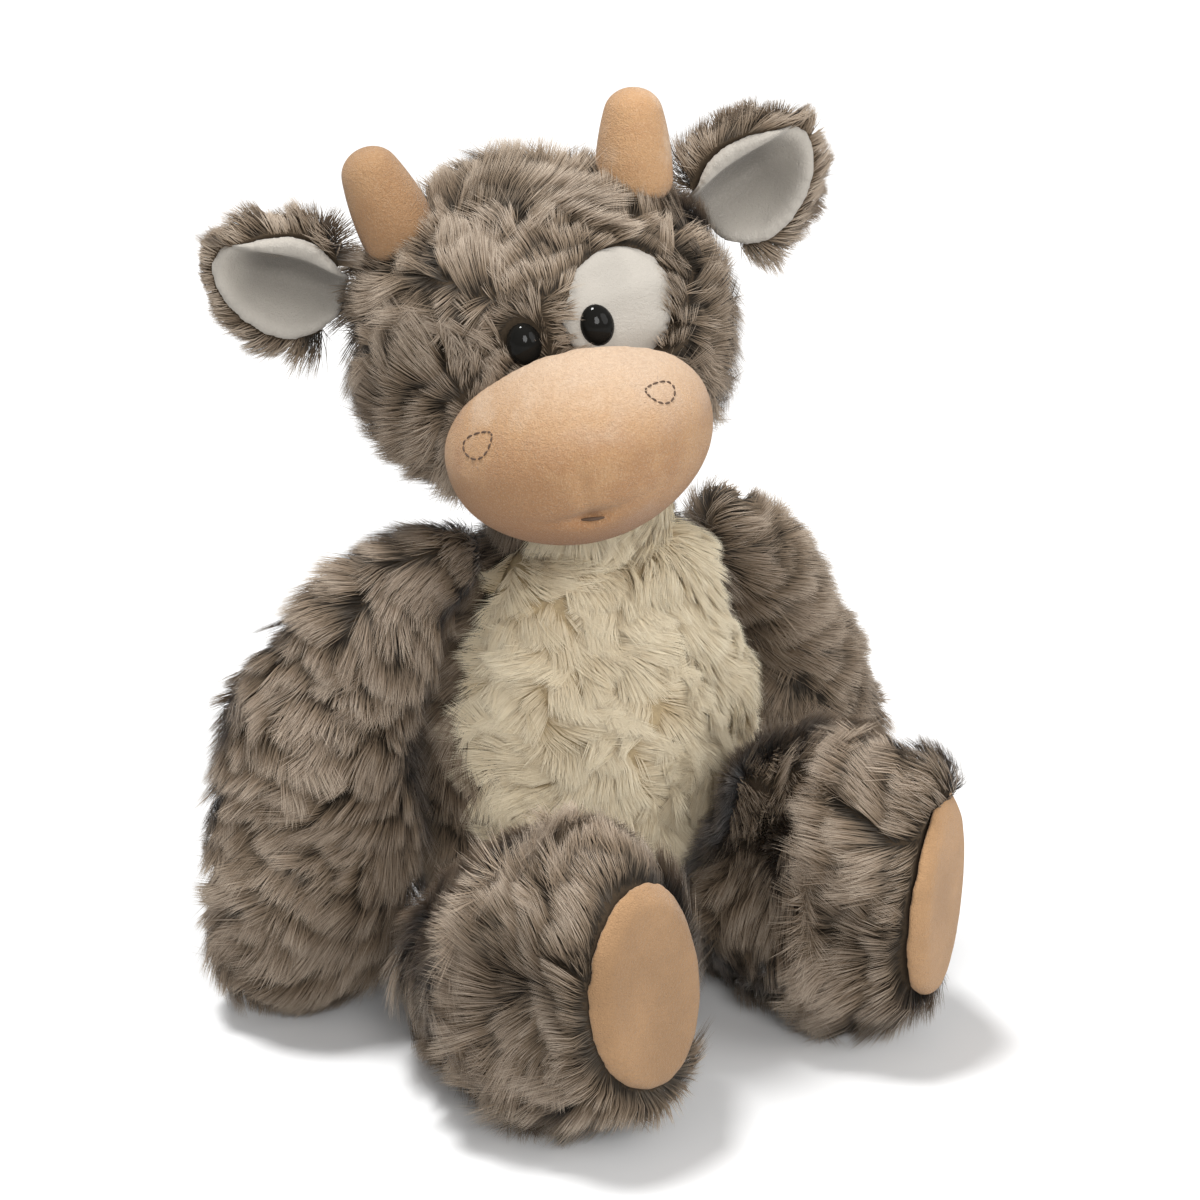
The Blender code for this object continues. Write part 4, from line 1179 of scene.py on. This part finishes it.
class PLUSH_OT_legs(PlushStep):
    """Makes the two furry legs and their velour soles."""

    bl_idname = "plush.legs"
    bl_label = "Legs"

    def make(self, scene):
        velour = scene.cow_velour
        # The last number of each foot makes its sole a paler copy of the sole velour: painted light on the
        # left sole.
        feet = (
            ("left", 1, 31, 81, radians(0), (-0.003, -0.001, 0.0), 0, 1.22),
            ("right", -1, 9, 91, radians(11), (-0.001, 0.003, 0.0045), thigh_swell, 1.0),
        )
        for side, sign, yaw, seed, roll, lift, bulge, painted_light_share in feet:
            base = toned(velour.sole, painted_light_share)
            peach = velour_finish(
                f"{side}_sole_velour_nap", base, toned(base, 0.75), toned(base, 1.2), 1.3, 0.4
            )
            forward = np.array((sign * sin(radians(yaw)), -cos(radians(yaw)), 0))
            way = forward * 0.88 + np.array((0, 0, -0.42))
            hip = np.array((sign * 0.020, 0.030, 0.050))
            low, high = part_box(f"{side}_foot_sole")
            middle = (np.array(low) + np.array(high)) / 2

            def along(points, way=way, middle=middle, forward=forward):
                ahead = (points - middle) @ forward
                return np.where(ahead > -0.030, -ahead, points @ (way / np.linalg.norm(way)))

            def trim(points, normals, middle=middle, forward=forward):
                near = np.clip(1 + (points - middle) @ forward / 0.016, 0, 1)
                # Strands facing back are shorter and start paler, painted light where they would lie in
                # shade; strands by the sole are shorter and paler too.
                return (1 - 0.25 * near) * (1 - 0.45 * fade(normals @ forward, -0.15, -0.6))

            def comb(points, middle=middle, forward=forward, hip=hip):
                ahead = (points - middle) @ forward
                out = points - middle
                out = unit(out - np.outer(out @ forward, forward))
                share = fade(ahead, -0.042, -0.020)[:, None]
                away = unit(points - hip)
                away[:, 2] -= 0.25
                return away * (1 - share) + (out * 0.7 - forward * 0.75) * share

            coat = coat_of(
                scene.cow_fur, tiered=0.8, wander=0.4, swing=0.4, sheet=0.0165, broken=1.0, rise=0.0115,
                density=275,
            )
            turn = Matrix.Rotation(roll, 3, Vector(forward))

            def settle(bm, middle=middle, forward=forward, turn=turn, lift=lift):
                for vert in bm.verts:
                    place = np.array(vert.co) - middle
                    share = fade(place @ forward, -0.060, -0.010)
                    turned = np.array(turn @ Vector(place))
                    moved = middle + place * (1 - share) + turned * share + np.array(lift) * share
                    vert.co = Vector((moved[0], moved[1], max(moved[2], 0.001)))
                return bm

            made = settle(stuffed((f"{side}_foot_sole",), sheet_voxel, 16, 0.0002))
            bmesh.ops.translate(made, vec=forward * -sole_inset, verts=made.verts)
            sole = BVHTree.FromBMesh(made)

            def settle_skin(bm, forward=Vector(forward), middle=Vector(middle), settle=settle, bulge=bulge):
                for vert in bm.verts:
                    behind = (vert.co - middle) @ forward
                    share = fade(-vert.normal @ look_across, 0.0, 0.8) * fade(vert.co.z, 0.075, 0.045)
                    vert.co -= look_across * (bulge * share * fade(behind, -0.010, -0.035))
                settle(bm)
                for vert in bm.verts:
                    hit = sole.ray_cast(vert.co - forward * 0.03, forward, 0.05)[0]
                    if hit is not None:
                        vert.co -= forward * max((vert.co - hit) @ forward + sole_cover, 0)

            def keep(points, normals, sole=sole):
                return ~covered(points, normals, sole, 0.006)

            made = finished(f"{side}_sole", made, peach)
            dress_in_fur(scene, f"{side}_leg", coat, comb, settle_skin, keep, along, trim, seed)
            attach(made, f"{side}_leg")
            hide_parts(f"{side}_foot_sole")


class PLUSH_OT_tail(PlushStep):
    """Makes the furry tail and its tuft."""

    bl_idname = "plush.tail"
    bl_label = "Tail"

    def make(self, scene):
        coat = coat_of(scene.cow_fur, length=0.009, rise=0.003, tiered=0.2, paled=0.2)
        skin = finished("tail_skin", stuffed(("tail_cord",), 0.0012, 2, -0.0016), backing(scene))
        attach(skin, "tail")
        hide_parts("tail_cord")
        fur = grow("tail_fur", skin, coat, toward((0, 0.8, -0.6)), brown(scene), seed=101)
        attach(fur, "tail")
        skin = finished("tail_tuft_skin", stuffed(("tail_tuft",), 0.0014, 3, -0.0020), backing(scene))
        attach(skin, "tail")
        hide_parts("tail_tuft")
        coat = coat_of(scene.cow_fur, length=0.016, rise=0.007, tiered=0.2, bind=0.5, stray=0.2, paled=0.1)
        fur = grow("tail_tuft_fur", skin, coat, toward((0, 1, -0.1)), brown(scene), seed=102)
        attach(fur, "tail")


class PLUSH_OT_stage(PlushStep):
    """Makes the pale floor, the soft light and the camera."""

    bl_idname = "plush.stage"
    bl_label = "Studio"

    def make(self, scene):
        stage = scene.cow_stage
        camera = bpy.data.objects.new("camera", bpy.data.cameras.new("camera"))
        scene.collection.objects.link(camera)
        camera.data.lens = stage.lens
        camera.location = look_target + look_back * stage.distance
        camera.rotation_euler = look_back.to_track_quat("Z", "Y").to_euler()
        camera.data.clip_end = 50
        scene.camera = camera

        bm = bmesh.new()
        bmesh.ops.create_circle(bm, cap_ends=True, segments=64, radius=12)
        pale = Finish("studio_floor", 0.9, Specular_IOR_Level=0.0)
        seen = pale.node("ShaderNodeLightPath").outputs["Is Camera Ray"]
        pale.colour(pale.mix(seen, (0.50, 0.50, 0.50), (0.82, 0.82, 0.82)))
        floor = finished("studio_floor", bm, pale.material, False)

        world = bpy.data.worlds.new("studio")
        world.use_nodes = True
        scene.world = world
        sky = world.node_tree
        seen = sky.nodes.new("ShaderNodeLightPath").outputs["Is Camera Ray"]
        mix = sky.nodes.new("ShaderNodeMix")
        mix.inputs[2].default_value = stage.sky
        mix.inputs[3].default_value = 1.0
        sky.links.new(seen, mix.inputs[0])
        sky.links.new(mix.outputs[0], sky.nodes["Background"].inputs["Strength"])
        sky.nodes["Background"].inputs["Color"].default_value = (1, 1, 1, 1)

        sun = bpy.data.lights.new("sun", "SUN")
        sun.angle = radians(12)
        sun.energy = stage.key
        self.hang(scene, sun, (-0.30, 0.38, 2.1))
        for name, width, share, place in (
            ("front", 0.8, 7, (-0.9, -1.7, 1.2)),
            ("side", 1.4, 4.5, (0.75, -1.45, 1.1)),
        ):
            lamp = bpy.data.lights.new(name, "AREA")
            lamp.shape = "DISK"
            lamp.size = width
            lamp.energy = stage.key * share
            self.hang(scene, lamp, place)
        scene.view_settings.view_transform = "Standard"

    def hang(self, scene, light, place):
        """Hangs a light at a place, aimed at the cow's middle."""
        made = bpy.data.objects.new(light.name, light)
        scene.collection.objects.link(made)
        made.location = place
        aim = Vector(place) - Vector((0, 0, 0.1))
        made.rotation_euler = aim.to_track_quat("Z", "Y").to_euler()


STEPS = (
    PLUSH_OT_torso, PLUSH_OT_head, PLUSH_OT_face, PLUSH_OT_horns, PLUSH_OT_ears, PLUSH_OT_arms, PLUSH_OT_legs,
    PLUSH_OT_tail, PLUSH_OT_stage,
)


class PLUSH_PT_panel(Panel):
    """Lists the steps, in order, and their settings."""

    bl_idname = "PLUSH_PT_panel"
    bl_label = "Plush cow"
    bl_space_type = "VIEW_3D"
    bl_region_type = "UI"
    bl_category = "Plush Cow"

    def draw(self, context):
        for group in (context.scene.cow_fur, context.scene.cow_velour, context.scene.cow_stage):
            box = self.layout.box()
            for name in group.__annotations__:
                box.prop(group, name)
        for step in STEPS:
            self.layout.operator(step.bl_idname)


SETTINGS = {"cow_fur": FurSettings, "cow_velour": VelourSettings, "cow_stage": StageSettings}


def register():
    for name, group in SETTINGS.items():
        bpy.utils.register_class(group)
        setattr(bpy.types.Scene, name, PointerProperty(type=group))
    for step in STEPS:
        bpy.utils.register_class(step)
    bpy.utils.register_class(PLUSH_PT_panel)


def unregister():
    bpy.utils.unregister_class(PLUSH_PT_panel)
    for step in reversed(STEPS):
        bpy.utils.unregister_class(step)
    for name, group in SETTINGS.items():
        delattr(bpy.types.Scene, name)
        bpy.utils.unregister_class(group)


def main():
    register()
    for step in STEPS:
        group, name = step.bl_idname.split(".")
        getattr(getattr(bpy.ops, group), name)()


if __name__ == "__main__":
    main()
